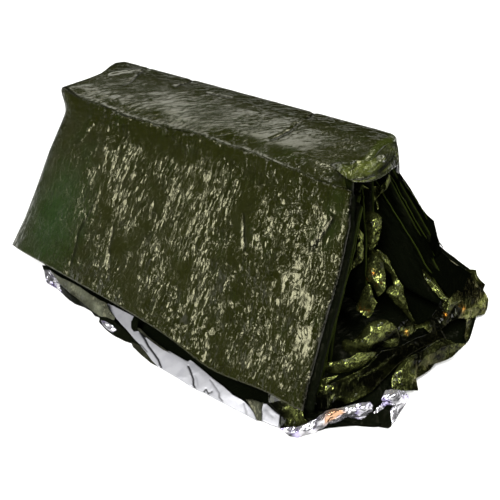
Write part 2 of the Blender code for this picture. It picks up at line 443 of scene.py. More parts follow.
def wrap(index, depth, reach):
    """One wrap over the top: front slope, top and back slope."""
    low_front, front, back, low_back = inset(depth)
    foot = (WRAP_FEET_Z[index] - low_front[1]) / (front[1] - low_front[1]) + 0.02
    slope, top, rear = [], [], []
    for share in (foot, 0.2, 0.4, 0.62, 0.82, 0.88, 0.94, 0.985):
        slope.append(line(column(FRONT_ENDS, share, 1) + index,
                          column(FRONT_ENDS, share, 2) + reach + 1.6 * index * (1.0 - share),
                          low_front + (front - low_front) * share))
    for share in (0.03, 0.1, 0.2, 0.32, 0.4, 0.5, 0.6, 0.72, 0.86, 0.96):
        y = TOP_HALF * (2.0 * share - 1.0)
        sag = np.array([0.0, column(TOP_SAG, share, 1)])
        top.append(line(column(TOP_ENDS, y, 1) + 1.2 * index, column(TOP_ENDS, y, 2) + reach,
                        front + (back - front) * share + sag))
    for share in (0.035, 0.27, 0.5, 0.73, 0.96):
        rear.append(line(-71.6 + 2.0 * share + index, 71.4 + 0.5 * reach - (5.0 + index) * share,
                         back + (low_back - back) * share))
    return slope, top, rear


# The film's main creases and patches, on the flat leaf: x from the middle of the bundle, y up from the
# front fold. The ridge is at 73 and the top's back edge at 113.
LEAF_CREASES = (        # x, y, x, y, width, height
    (-34.6, 31.5, -37.2, 19.2, 0.8, -0.35), (-37.2, 19.2, -34.6, 5.0, 0.9, -0.4),
    (-21.0, 27.5, -20.0, 19.2, 0.7, -0.3), (-20.0, 19.2, -15.5, 9.0, 0.7, -0.35),
    (-50.3, 72.0, -53.8, 52.0, 1.5, 0.5), (33.5, 50.7, 38.3, 38.8, 0.7, -0.7),
    (59.8, 68.0, 53.5, 42.0, 2.4, 0.8), (61.0, 72.0, 64.3, 68.2, 0.9, 0.8),
    (64.3, 68.2, 64.9, 62.0, 0.9, 0.8), (62.5, 72.5, 67.0, 70.0, 0.8, 0.6),
    (66.0, 62.0, 61.0, 48.0, 1.8, -0.5), (53.0, 60.0, 50.0, 36.0, 2.2, 0.6),
    (-29.3, 116.0, -25.3, 109.0, 1.0, -0.5), (-25.3, 109.0, -28.4, 100.0, 1.0, -0.5),
    (-55.9, 115.0, -52.6, 108.0, 1.0, -0.5), (-52.6, 108.0, -51.0, 89.0, 1.0, -0.5),
    (-12.0, 103.0, 2.0, 105.0, 0.9, -0.6), (35.5, 117.0, 37.5, 104.0, 1.0, -0.5),
    (37.0, 99.0, 36.0, 83.0, 1.0, -0.6), (-67.0, 95.0, -50.0, 112.0, 1.5, 0.6),
)
LEAF_SWELLS = (         # x, y, radius across, radius along, height
    (43, 52, 16, 20, 2.4), (10, 0, 14, 8, 1.5), (58, 2, 14, 8, 1.2), (70, 82, 9, 9, -2.4),
    (-69, 74, 5, 6, 2.2), (-46, 68, 6, 5, -0.4), (-30, 68, 9, 5, -0.5), (2, 67, 9, 6, -0.5),
    (20, 69, 8, 5, -0.4), (42, 69, 9, 6, -0.6), (57, 68, 10, 7, -0.5), (-60, 74, 14, 6, -1.2),
    (-36, 74, 16, 5.5, -2.2), (-6, 74, 14, 5.5, -1.5), (22, 74, 14, 5.5, -2.0), (44, 74, 12, 6, -1.8),
    (60, 74, 9, 6, -1.2),
)
LEAF_SLACK = (          # x, y, radius across, radius along, value
    (-68, 40, 20, 60, 0.1), (-44, 12, 14, 20, 0.25), (-30, 30, 10, 12, 0.5), (46, 74, 9, 7, 0.1),
    (72, 62, 5, 10, 0.0), (-8, 12, 12, 10, 0.45), (52, 54, 13, 11, 0.7), (67, 28, 7, 22, 2.0),
    (68, 58, 5, 12, 0.0), (-35, 72, 14, 3, 0.3), (-2, 72, 14, 3, 0.3), (30, 72, 14, 3.5, 0.3),
    (14, 71, 2.5, 3, 1.0), (20, 72, 2.5, 3, 1.0), (-10, 71, 1.5, 3, 1.0),
)
LEAF_CRUMPLE = (        # x, y, radius across, radius along, value
    (52, 54, 15, 12, 0.7), (61, 38, 9, 8, 0.25), (13, 5, 9, 6, 1.0), (24, 5, 13, 5, 0.9),
    (66, 7, 10, 7, 0.4), (-20, 64, 60, 5, 0.25), (-42, 61, 16, 6, 0.6), (0, 73, 200, 2.2, 0.8),
    (67, 62, 5, 8, 0.0), (46, 74, 8, 6, 0.0), (44, 18, 12, 8, 0.5), (68, 30, 6, 22, 0.0),
    (70.6, 40, 1.6, 36, 0.6),
)


COARSE_FROM = 119.0     # every second line is left out down the back
SLANT = 0.72, 0.69      # the way that the buckles run on the top, along x and y


def shares(count, lip_count=7, lip_share=0.022):
    """Stations from left to right, closer together at the right end."""
    return np.concatenate([np.linspace(0.0, 1.0 - lip_share, count),
                           1.0 - lip_share * (1.0 - np.linspace(0, 1, lip_count + 1)[1:])])


lines, along = joined(wrap(0, depth=0.2, reach=0.0), spacing=0.7)
keep = np.flatnonzero((along < COARSE_FROM) | (np.arange(len(along)) % 2 == 0))
lines, along = lines[keep], along[keep]
stations = shares(198)
points = place(lines, stations, lip=2.3)
leaf_x, leaf_y = flat_place(stations, along)
# the left edge of the front rolls in
edge_roll = 1.9 * np.clip((-61.0 - leaf_x) / 10.0, 0.0, 1.0) ** 2 * smooth((74.0 - leaf_y) / 8.0)
points = points - outward(points) * edge_roll[..., None]
for cx, cy, rx, ry, height in LEAF_SWELLS:
    swell = height * np.exp(-((leaf_x - cx) / rx) ** 2 - ((leaf_y - cy) / ry) ** 2)
    points = points + outward(points) * swell[..., None]
# the front fold sags, right of its middle
sag = 3.4 * np.exp(-((leaf_x - 38.0) / 16.0) ** 2) * smooth((12.0 - leaf_y) / 12.0)
points = points - sag[..., None] * np.array([0.0, 0.74, 0.67])
points, gap = creased(points, leaf_x, leaf_y, LEAF_CREASES)
on_top = smooth((leaf_y - 72.9) / 0.8) * smooth((114.6 - leaf_y) / 0.8)
grain = np.stack([leaf_x + (SLANT[0] * leaf_y - SLANT[1] * leaf_x - leaf_x) * on_top,
                  leaf_y + (SLANT[0] * leaf_x + SLANT[1] * leaf_y - leaf_y) * on_top, 40.0 * on_top], axis=-1)
outer_leaf = cloth("outer_leaf", points, grain)
slack = patches(leaf_x, leaf_y, LEAF_SLACK, 1.0)
# painted sheen along the lip at the right end
lip_share = smooth((leaf_x - 68.6) / 1.5) * smooth((leaf_y - 74.0) / 4.0) * smooth((117.0 - leaf_y) / 3.0)
fine_lines = patches(leaf_x, leaf_y, ((52, 54, 13, 12, 1.0), (18, 4, 16, 6, 1.0), (67, 26, 7, 22, 1.0)))
# painted shade along the right edge of the front, where it meets the next wrap
painted_edge_shade = smooth((leaf_x - 70.8) / 0.8) * smooth((72.0 - leaf_y) / 3.0)
# painted light on the outer leaf: a lighter patch low at the left and a lit patch by the right edge
paint(outer_leaf, slack=slack * (1.0 - 0.8 * on_top - 0.15 * on_top * smooth((leaf_y - 100.0) / 5.0)),
      crumple=patches(leaf_x, leaf_y, LEAF_CRUMPLE, 0.05) * (1.0 - 0.6 * on_top),
      lined=np.maximum(on_top, 0.8 * fine_lines),
      light=patches(leaf_x, leaf_y, ((-52, 20, 15, 24, 1.0), (67, 60, 5, 12, 0.3)), 0.0),
      amber=0.0, mirror=lip_share * 0.1, gap=np.maximum(gap, painted_edge_shade))
finish_film(outer_leaf, olive_film, 0.25, seed=3, buckle=(3.2, 14.0, 0.14), facet=(5.2, 0.45))

# ---------------------------------------------------------------------------------------------
# Inner plies. The rest of the same strip: two more wraps under the outer leaf, then deep pleats that
# stand on the floor ply. Nothing holds them but their creases, and their right ends fan out.

PLEAT_TOP_Z, PLEAT_LOW_Z, PLEAT_TOP_PITCH, FOLD_GAP = 47.4, 4.8, 6.4, 3.2
PLEAT_FIRST_IN, PLEAT_LAST_Y = 5.5, 54.0    # the first lower fold is this far inside the third wrap
PLEAT_LEFT, PLEAT_LEFT_STEP = -67.5, 1.8    # the left ends step in, three by three
PLEAT_TOPS_X = (75.0, 71.0, 69.0, 71.0, 75.0, 73.8)
PLEAT_LOWS = (          # x, y, z of the right ends of the lower folds
    (86.0, -62.0, 6.0), (85.0, -54.0, 7.0), (80.0, -40.0, 7.0), (86.0, -20.0, 9.0),
    (112.0, -5.0, 10.0), (106.0, 10.0, 10.0), (98.5, 36.0, 5.0),
)


def pleats():
    count = len(PLEAT_TOPS_X)
    low_front = inset(0.6 + 3 * WRAP_PITCH)[0]
    low_y = np.linspace(low_front[0] + PLEAT_FIRST_IN, PLEAT_LAST_Y, count + 1)
    half = FOLD_GAP / 2
    plies = []
    for i, top_x in enumerate(PLEAT_TOPS_X):
        top_y = (i - (count - 1) / 2) * PLEAT_TOP_PITCH
        left = PLEAT_LEFT + PLEAT_LEFT_STEP * (i % 3)
        for side, low in ((-1, i), (1, i + 1)):
            shift = 0.0 if low in (0, count) else -side * half
            x, y, z = PLEAT_LOWS[low]
            foot = line(left + 3.0, x, (low_y[low] + shift, PLEAT_LOW_Z), (y + shift, z))
            head = line(left, top_x, (top_y + side * half, PLEAT_TOP_Z))
            middle = (foot + head) / 2.0
            plies.append([foot, middle, head] if side < 0 else [head, middle, foot])
    return plies


# the same olive film painted near black as shade, for the inner plies, the floor ply and the dark hem leaves
painted_dark_film = olive_lacquered_film("olive_lacquered_film_painted_dark", "#070904", "#060904",
                                  pucker=0.8, roughness=0.3, gloss=0.02)
second = wrap(1, depth=3.2, reach=1.0)
third = wrap(2, depth=6.6, reach=-0.5)
lines, along = joined(list(second) + [face[::-1] for face in third[::-1]] + pleats(), spacing=1.66)
stations = np.concatenate([np.linspace(0.0, 0.72, 24)[:-1], np.linspace(0.72, 1.0, 60)])
x, y = flat_place(stations, along)
points = place(lines, stations, lip=2.2)
# the pleats bow back in the middle
points[..., 1] += 3.8 * np.exp(-(points[..., 0] / 26.0) ** 2) * smooth((y - 335.0) / 20.0)
inner_plies = cloth("inner_plies", points, np.stack([x, y, np.zeros_like(x)], axis=-1))
# painted sheen along the second wrap's lip and along the pleats' right edges
painted_second_lip_sheen = smooth((x - 68.4) / 1.5) * smooth((y - 74.0) / 4.0) * smooth((112.0 - y) / 3.0)
painted_pleat_edge_sheen = smooth((x - 71.5) / 0.5) * smooth((y - 340.0) / 10.0)
paint(inner_plies, slack=0.5, crumple=0.15 + 0.4 * smooth((x - 60.0) / 10.0), light=0.3, amber=0.0,
      mirror=np.maximum(0.1 * painted_second_lip_sheen, 0.12 * painted_pleat_edge_sheen), gap=0.0)
finish_film(inner_plies, painted_dark_film, 0.35, seed=5, facet=(6.0, 1.0))

# ---------------------------------------------------------------------------------------------
# Floor ply. The first leaf of the strip, on the floor under the others, olive side up. Its front hem
# runs out from under the outer leaf, and its right end spreads in a low flare.

FLARE = (               # x, y, z
    (87.8, -77.8, 0.0), (94.0, -70.4, 0.2), (101.5, -64.5, 0.0), (107.8, -60.8, 0.0),
    (107.6, -50.0, 0.0), (106.5, -42.0, 0.0), (108.0, -36.0, 0.2), (111.0, -29.5, 0.4),
    (113.5, -22.5, 0.6), (119.6, -17.2, 0.2), (122.4, -8.8, 0.2), (121.6, 4.0, 0.8),
    (120.0, 13.0, 1.2), (117.6, 22.0, 1.5), (113.0, 29.5, 1.5), (99.0, 37.0, 1.0),
    (84.0, 50.0, 0.0), (68.0, 60.0, 0.0),
)
FLOOR_BACK_Y, FLOOR_LIFT = 59.0, 0.6
floor_lines = []
for i, (x, y, z) in enumerate(FLARE):
    share = i / (len(FLARE) - 1)
    start = column(HEM, 0.0, 1) * (1.0 - share) + FLOOR_BACK_Y * share
    floor_lines.append(line(HEM[0][0], x, (start, FLOOR_LIFT), (y, z + FLOOR_LIFT), 1.0 - share))
lines, along = joined([floor_lines], spacing=1.2)
stations = np.linspace(0.0, 1.0, 150)
x, y = flat_place(stations, along)
floor_ply = cloth("floor_ply", place(lines, stations), np.stack([x, y, np.zeros_like(x)], axis=-1))
paint(floor_ply, slack=0.7, crumple=smooth((x - 44.0) / 20.0), light=0.3, amber=0.0, mirror=0.0, gap=0.0)
finish_film(floor_ply, painted_dark_film, 0.4, seed=8, facet=(9.0, 0.7))

for piece, flat in ((outer_leaf, (0.142, 0.180)), (inner_plies, (0.145, 0.972)), (floor_ply, (0.169, 0.137))):
    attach(piece, "root")
    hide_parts("foil_blanket")

# ---------------------------------------------------------------------------------------------
# Turned hem. The front edge of the floor ply is folded back up on itself, so a narrow band of the
# film's bare metal side shows along the floor. It is creased flat and nothing holds it.

# The small leaves are placed one by one. Their rows are u, v, a place in the camera's frame of 500 x 500; z,
# its height in millimetres; and the painted light and shade of the film there, from 0 to 1. Folds go from
# point to point.
FRAME_MIDDLE, HORIZON, FOCAL = 250.0, -163.0, 485.0     # the horizon is above the frame
TURN, TILT = math.radians(33.5), math.atan((FRAME_MIDDLE - HORIZON) / FOCAL)
EYE = 86.6 * np.array([1.364, -1.76, 1.68])
OPENS = np.array([0.26, -0.77, 0.58])       # the way that the front and the fanned end open


def line_of_sight(u, v):
    """The way from the eye through a place in the frame."""
    head, up = np.array([-math.sin(TURN), math.cos(TURN), 0.0]), np.array([0.0, 0.0, 1.0])
    right = np.array([math.cos(TURN), math.sin(TURN), 0.0])
    ahead = head * math.cos(TILT) - up * math.sin(TILT)
    over = head * math.sin(TILT) + up * math.cos(TILT)
    return (u - FRAME_MIDDLE) * right - (v - FRAME_MIDDLE) * over + FOCAL * ahead


def in_space(u, v, z):
    """Where a line of sight reaches the height z, to a tenth of a millimetre."""
    way = line_of_sight(u, v)
    return tuple(round(float(value), 1) for value in EYE + way * (z - EYE[2]) / way[2])


def on_x(u, v, x, light):
    """A row of a leaf whose height is found from its x."""
    way = line_of_sight(u, v)
    return u, v, float(EYE[2] + way[2] * (x - EYE[0]) / way[0]), light


def leaf_part(edge, inside=(), folds=(), light=1.0, scale=1.0, below=math.inf):
    """One part of a leaf: its rows, the same points in space, and its folds. Rows of three have the
    part's own painted light, and painted light values under below are scaled."""
    rows = [row if len(row) == 4 else (*row, light) for row in (*edge, *inside)]
    held = []
    for u, v, z, shade in rows:
        shade = min(1, round(shade * scale, 2)) if shade < below else shade
        held.append((*in_space(u, v, z), shade))
    return rows, held[:len(edge)], held[len(edge):], list(folds)


def lifted(parts, lines):
    """Lines of the frame, each after its half width and strength, raised on to the parts of a leaf."""
    rows = np.array([row[:3] for part in parts for row in part[0]])
    made = delaunay_2d_cdt([Vector(row[:2]) for row in rows], [], [], 0, 1e-5)
    raised = []
    for half, strength, *places in lines:
        points = []
        for u, v in places:
            z = rows[np.argmin(np.hypot(rows[:, 0] - u, rows[:, 1] - v)), 2]
            for face in made[2]:
                corners = rows[[made[3][i][0] for i in face]]
                weights = np.linalg.solve(np.vstack([corners[:, :2].T, np.ones(3)]), (u, v, 1.0))
                if weights.min() >= -1e-9:
                    z = float(weights @ corners[:, 2])
            points.append(in_space(u, v, z))
        raised.append((half, strength, *points))
    return raised


TURNED_HEM = (leaf_part((
    (107, 303, 3.2), (115, 306.7, 3.2), (125, 311.7, 3.2), (134, 316.3, 3.2), (131.3, 322, 2.6),
    (131.3, 328, 2.2), (134, 331.5, 2), (138, 331, 2.2), (145, 338, 2.2), (147, 337.2, 2.4),
    (155, 343.3, 2.4), (163, 349.3, 2.4), (170, 351.5, 2.4), (178, 356, 2.4), (184, 359.5, 2.4),
    (188, 361.5, 2.4), (190, 360, 2.6), (195, 363.5, 2.6), (203, 370, 2.5), (212, 377.5, 2.5),
    (222, 385, 2.5), (229, 391.3, 2.5), (233, 395, 2.4), (241, 399.2, 2.4), (245, 402, 2.2),
    (250, 407, 1.8), (254, 413, 1.4), (257, 421, 0.9), (245, 414.5, 0.9), (232, 408, 0.9),
    (220, 401.5, 0.9), (212, 397.5, 0.9), (204, 393, 0.9), (197, 390.3, 0.9), (190, 386.5, 0.9),
    (175, 376.5, 0.9), (163, 370, 0.9), (158, 367, 0.9), (152, 361, 1), (146, 353, 1.2), (140, 345, 1.4),
    (135, 340, 1.5), (127, 330, 1.8), (120, 323, 2.2), (115, 317, 2.4), (110, 310, 2.8),
), (
    (125, 320, 2.5), (140, 337, 1.9), (158, 356, 1.7), (172, 366, 1.6), (186, 377, 1.6), (205, 386, 1.6),
    (222, 396, 1.6), (238, 405, 1.5),
)), leaf_part((
    (263, 403, 2.6), (267, 404, 2.6), (272, 408.5, 2.6), (276, 412, 2.4), (280, 415, 2.2), (279, 428, 0.8),
    (270, 425, 0.9), (262, 421.5, 0.9), (261.5, 412, 1.6),
)))
HEM_PAINTED_DARK_CREASES = lifted(TURNED_HEM, (          # creases in it, dented and painted dark as shade
    (0.36, 1.6, (140, 332.5), (145, 340), (148, 346), (153, 353), (158, 360), (161, 368)),
    (0.36, 1.5, (188, 366.5), (190, 371), (192, 376), (193, 380), (193, 385), (195, 389)),
    (0.28, 0.8, (210, 380), (215, 387), (219, 393), (219, 397), (222, 401)),
    (0.3, 1.2, (203, 393), (206, 389.5), (208, 394), (212, 392)),
    (0.35, 0.4, (244, 403), (246, 410), (246, 414)),
    (0.35, 0.35, (266, 410), (270, 414), (273, 417)),
    (0.35, 0.3, (195, 375), (197, 380), (198, 386)),
    (0.3, 0.9, (136, 343), (141, 345), (147, 352)),
))


WELD_STEPS = 200.0      # to a millimetre: points that round alike are one
SMALLEST_SIDE = 0.0105  # of a flat sheet, in metres


def between_folds(edge, inside, folds, spacing):
    """A leaf that is flat between its folds: its points with their values, triangles, and place laid flat."""
    held = np.array(edge + inside)
    side = np.cross((0.0, 0.0, 1.0), OPENS)
    side /= np.linalg.norm(side)
    rise = np.cross(OPENS, side)
    rise /= np.linalg.norm(rise)
    rim = [(i, (i + 1) % len(edge)) for i in range(len(edge))]
    flat = [Vector((place @ side, place @ rise)) for place in held[:, :3]]
    made = delaunay_2d_cdt(flat, rim + folds, [], 1, 1e-5)
    corners = np.array([[held[made[3][i][0]] for i in face] for face in made[2]])
    steps = math.ceil(np.linalg.norm(corners - np.roll(corners, 1, axis=1), axis=-1).max() / spacing)
    places = [(i, j) for i in range(steps + 1) for j in range(steps + 1 - i)]
    weights = [(i / steps, j / steps, (steps - i - j) / steps) for i, j in places]
    index = {place: k for k, place in enumerate(places)}
    small = [(index[i, j], index[i + 1, j], index[i, j + 1]) for i, j in places if i + j < steps]
    small += [(index[i + 1, j], index[i + 1, j + 1], index[i, j + 1]) for i, j in places if i + j < steps - 1]
    points = np.einsum("wc,fcd->fwd", np.array(weights), corners).reshape(-1, 4)
    _, first, back = np.unique(np.round(points[:, :3] * WELD_STEPS).astype(int), axis=0,
                               return_index=True, return_inverse=True)
    starts = np.arange(len(corners)) * len(weights)
    triangles = (np.array(small)[None] + starts[:, None, None]).reshape(-1, 3)
    triangles, points = back.reshape(-1)[triangles], points[first]
    a, b, c = (points[triangles[:, i], :3] for i in range(3))
    inward = np.cross(b - a, c - a) @ OPENS < 0.0
    triangles[inward] = triangles[inward][:, ::-1]
    return points, triangles, np.stack([points[:, :3] @ side, points[:, :3] @ rise], axis=-1)


def scored(points, rows):
    """How near each point is to a line of a table: half width, strength, then the line's points."""
    near = np.zeros(len(points))
    for half, strength, *stops in rows:
        for start, stop in zip(np.array(stops[:-1]), np.array(stops[1:])):
            way = stop - start
            held = np.clip((points - start) @ way / (way @ way), 0.0, 1.0)
            far = np.linalg.norm(points - start - held[:, None] * way, axis=-1) / half
            near = np.maximum(near, strength * np.exp(-far ** 2))
    return near


def folded_film(name, parts, film, seed, facet, spacing=0.8, slack=0.25, crumple=1.0, painted_dark_creases=(), painted_highlight_lines=(),
                amber=()):
    """A loose leaf of film from its folded parts, scored with painted dark creases, raised along painted
    highlight lines, and crumpled.
    """
    made = [between_folds(*part[1:], spacing) for part in parts]
    start = np.cumsum([0] + [len(part[0]) for part in made])
    triangles = np.concatenate([part[1] + first for part, first in zip(made, start)])
    points, flat = (np.concatenate([part[i] for part in made]) for i in (0, 2))
    light, points = points[:, 3], points[:, :3]
    gap, painted_highlight = scored(points, painted_dark_creases), scored(points, painted_highlight_lines)
    points = points + OPENS * (0.3 * painted_highlight - 0.3 * gap)[:, None]
    leaf = meshed(name, points, triangles, np.column_stack([flat, np.full(len(flat), float(seed))]))
    spots = np.zeros(len(points))
    for *place, radius in amber:
        spots = spots + np.exp(-(np.linalg.norm(points - place, axis=-1) / radius) ** 2)
    # painted light from each row, lighter still along the painted highlight lines
    light = np.maximum(light, painted_highlight)
    paint(leaf, slack=slack, crumple=crumple * (0.15 + 0.85 * light), light=light ** 1.7,
          amber=np.minimum(spots, 1.0), mirror=0.0, gap=gap)
    rounding = leaf.modifiers.new("rounding", "SMOOTH")
    rounding.factor, rounding.iterations = 0.5, 1
    finish_film(leaf, film, 0.2, seed, facet=facet)
    long = SMALLEST_SIDE
    for part in made:
        spread = part[2] - part[2].mean(axis=0)
        long = max(long, float(np.ptp(spread @ np.linalg.eigh(spread.T @ spread)[1][:, 1])) * MM)
    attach(leaf, "root")
    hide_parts("foil_blanket")


# Aluminium vapour coated polyester, bare side out: a pale satin metal where it lies flat, faintly violet
# where it is crushed, and painted reflections on it: white and near black crushed facets, and tan spots.
def bare_metal_film(name, roughness, bright, other, dark, crinkle=0.3, metal=1.0):
    material, tree, shader = new_material(name)

    grain = attribute(tree, "grain", "Vector")
    crush = node(tree, "ShaderNodeTexVoronoi", {"Vector": grain, "Scale": 0.5}, distance="MANHATTAN")
    height = node(tree, "ShaderNodeMath", {0: noise(grain, 0.8, 2.0)["Fac"], 1: crinkle,
                                           2: crush.outputs["Distance"]}, operation="MULTIPLY_ADD")
    bump = node(tree, "ShaderNodeBump", {"Height": height.outputs[0], "Distance": 0.3 * MM * crinkle,
                                         "Strength": 1.0})
    tone = ranged(noise(grain, 0.3, 2.0)["Fac"], 0.5, 0.7)
    colour = mixed(tone, linear(bright), linear(other))
    # painted reflection: near black where the painted light is low
    colour = mixed(attribute(tree, "light"), linear(dark), colour)
    # painted tan reflections of the paler film
    colour = mixed(attribute(tree, "amber"), colour, linear("#C79B78"))
    # painted shade along the creases
    colour = mixed(attribute(tree, "gap"), colour, linear("#0C0C0E"))
    tree.links.new(colour, shader.inputs["Base Color"])
    tree.links.new(bump.outputs[0], shader.inputs["Normal"])
    shader.inputs["Metallic"].default_value = metal
    shader.inputs["Roughness"].default_value = roughness
    return material


satin_metal = bare_metal_film("aluminium_coated_film_satin", 0.45, "#98989B", "#929296", "#141413",
                              crinkle=0.15, metal=0.35)
folded_film("turned_hem", TURNED_HEM, satin_metal, 11, (5.0, 0.2), spacing=0.6, slack=0.15, crumple=0.15,
            painted_dark_creases=HEM_PAINTED_DARK_CREASES)

# ---------------------------------------------------------------------------------------------
# Crushed hem. At the front right corner the same hem is crushed to a ribbon that shows the metal
# side, and the corner beside it is turned over flat.

CRUSHED_HEM = (leaf_part((
    (279, 428, 0.8, 1), (284, 431.5, 0.6, 1), (289, 436, 0.6, 0.2), (292, 436.5, 0.6, 0.5),
    (297, 437, 0.6, 1), (304, 435.5, 0.6, 0.5), (309, 434, 0.6, 0.5), (315, 432.5, 0.6, 1),
    (320, 430, 0.6, 0.5), (326, 426, 0.6, 0.6), (330, 424.5, 0.6, 0.9), (339, 420.5, 0.8, 1),
    (346, 417.2, 1.5, 0.6), (352, 417.8, 1.5, 0.5), (361, 419, 1.5, 1), (366, 415, 2, 0.9),
    (371, 411, 3, 0.9), (372.5, 405, 5, 1), (369.5, 402, 6, 1), (362, 402.5, 6.5, 1), (354, 404.5, 6.5, 1),
    (344, 407, 6.5, 1), (334, 409, 6.5, 0.8), (326, 411, 6, 0.9), (320, 415, 5.5, 1), (316, 419, 5, 1),
    (310, 421.5, 4.5, 1), (303, 425, 3.5, 1), (296, 427, 2.8, 1), (290, 427, 2.5, 0.9), (284, 427.5, 2, 1),
), (
    (286, 430, 1.6, 1), (290, 432, 2.4, 0.7), (290.5, 435, 1.2, 0.05), (296, 432, 3.2, 1),
    (300, 430, 3.6, 0.9), (305, 430.5, 3, 0.35), (306, 433.5, 1.4, 0.4), (311, 427, 4, 1),
    (313, 430.5, 2.4, 1), (317, 421, 5.6, 0.3), (316, 427, 3, 0.3), (319, 424, 3.6, 1),
    (321.5, 426, 2.2, 0.1), (324, 427, 1.4, 0.3), (322, 417.5, 5.8, 0.4), (324, 421, 4.4, 1),
    (326, 414, 6.8, 0.3), (328, 419, 5, 0.9), (332, 414, 6.6, 0.9), (335, 418, 4, 1), (339, 411, 7, 0.8),
    (343, 413, 6, 0.6), (340, 417, 4, 1), (347, 411, 6.8, 1), (352, 414, 4, 0.5), (351, 408, 7.2, 0.8),
    (358, 409, 6.4, 1), (357, 413, 4.4, 0.6), (362, 410, 6, 0.6), (364, 406, 7.4, 1), (367, 409, 5.4, 0.7),
    (360, 416, 2.8, 0.8),
), ((44, 47), (47, 51), (51, 54), (54, 57), (57, 60))), leaf_part((
    (381, 399, 5, 1), (383, 396, 5.2, 0.9), (386, 391, 5, 0.9), (391, 389.3, 5, 0.9), (398, 390, 4.6, 1),
    (404, 390.3, 4, 0.8), (407, 394, 3, 1), (409, 398, 1.6, 1), (405, 402, 1.4, 1), (406, 403, 1.2, 0.6),
    (403, 408, 1, 0.4), (399, 414, 0.8, 0.3), (396, 419, 0.7, 0.4), (395, 422, 0.7, 0.8),
    (392, 424, 0.7, 1), (391, 418, 1.2, 1), (390, 411, 1.6, 0.9), (393, 406, 2, 0.7), (387, 404.5, 2.6, 1),
    (383, 409, 1.9, 1), (377, 412.5, 1.4, 1), (373.5, 414, 1.2, 1), (376, 409, 2.2, 1),
    (380, 405.5, 3, 0.9), (383, 402.5, 3.8, 1),
), (
    (388, 395, 6, 1), (391, 397, 6.2, 0.7), (392, 401, 4.8, 0.5), (396.5, 393, 6, 0.9),
    (397, 397, 5.6, 0.15), (397.5, 400.5, 4.4, 0.3), (401, 396, 4.4, 0.85), (394, 404, 3.4, 0.6),
    (400, 403, 2.8, 0.9), (396, 409, 2, 0.9), (402, 404, 2.2, 0.5), (387, 400, 5, 1),
)))
crushed_metal = bare_metal_film("aluminium_coated_film_crushed", 0.14, "#F2F0F5", "#A99CCB", "#0E0E14",
                                crinkle=0.9, metal=0.8)
PAINTED_TAN_REFLECTIONS = [(*in_space(*place), radius) for *place, radius in (      # painted reflections of the paler film
    (331, 417, 5.4, 2), (334, 414, 6, 1.6), (329, 420, 4, 1.4), (341, 413, 6.4, 1.4))]
folded_film("crushed_hem", CRUSHED_HEM, crushed_metal, 12, (3.0, 0.5), spacing=0.6, amber=PAINTED_TAN_REFLECTIONS)
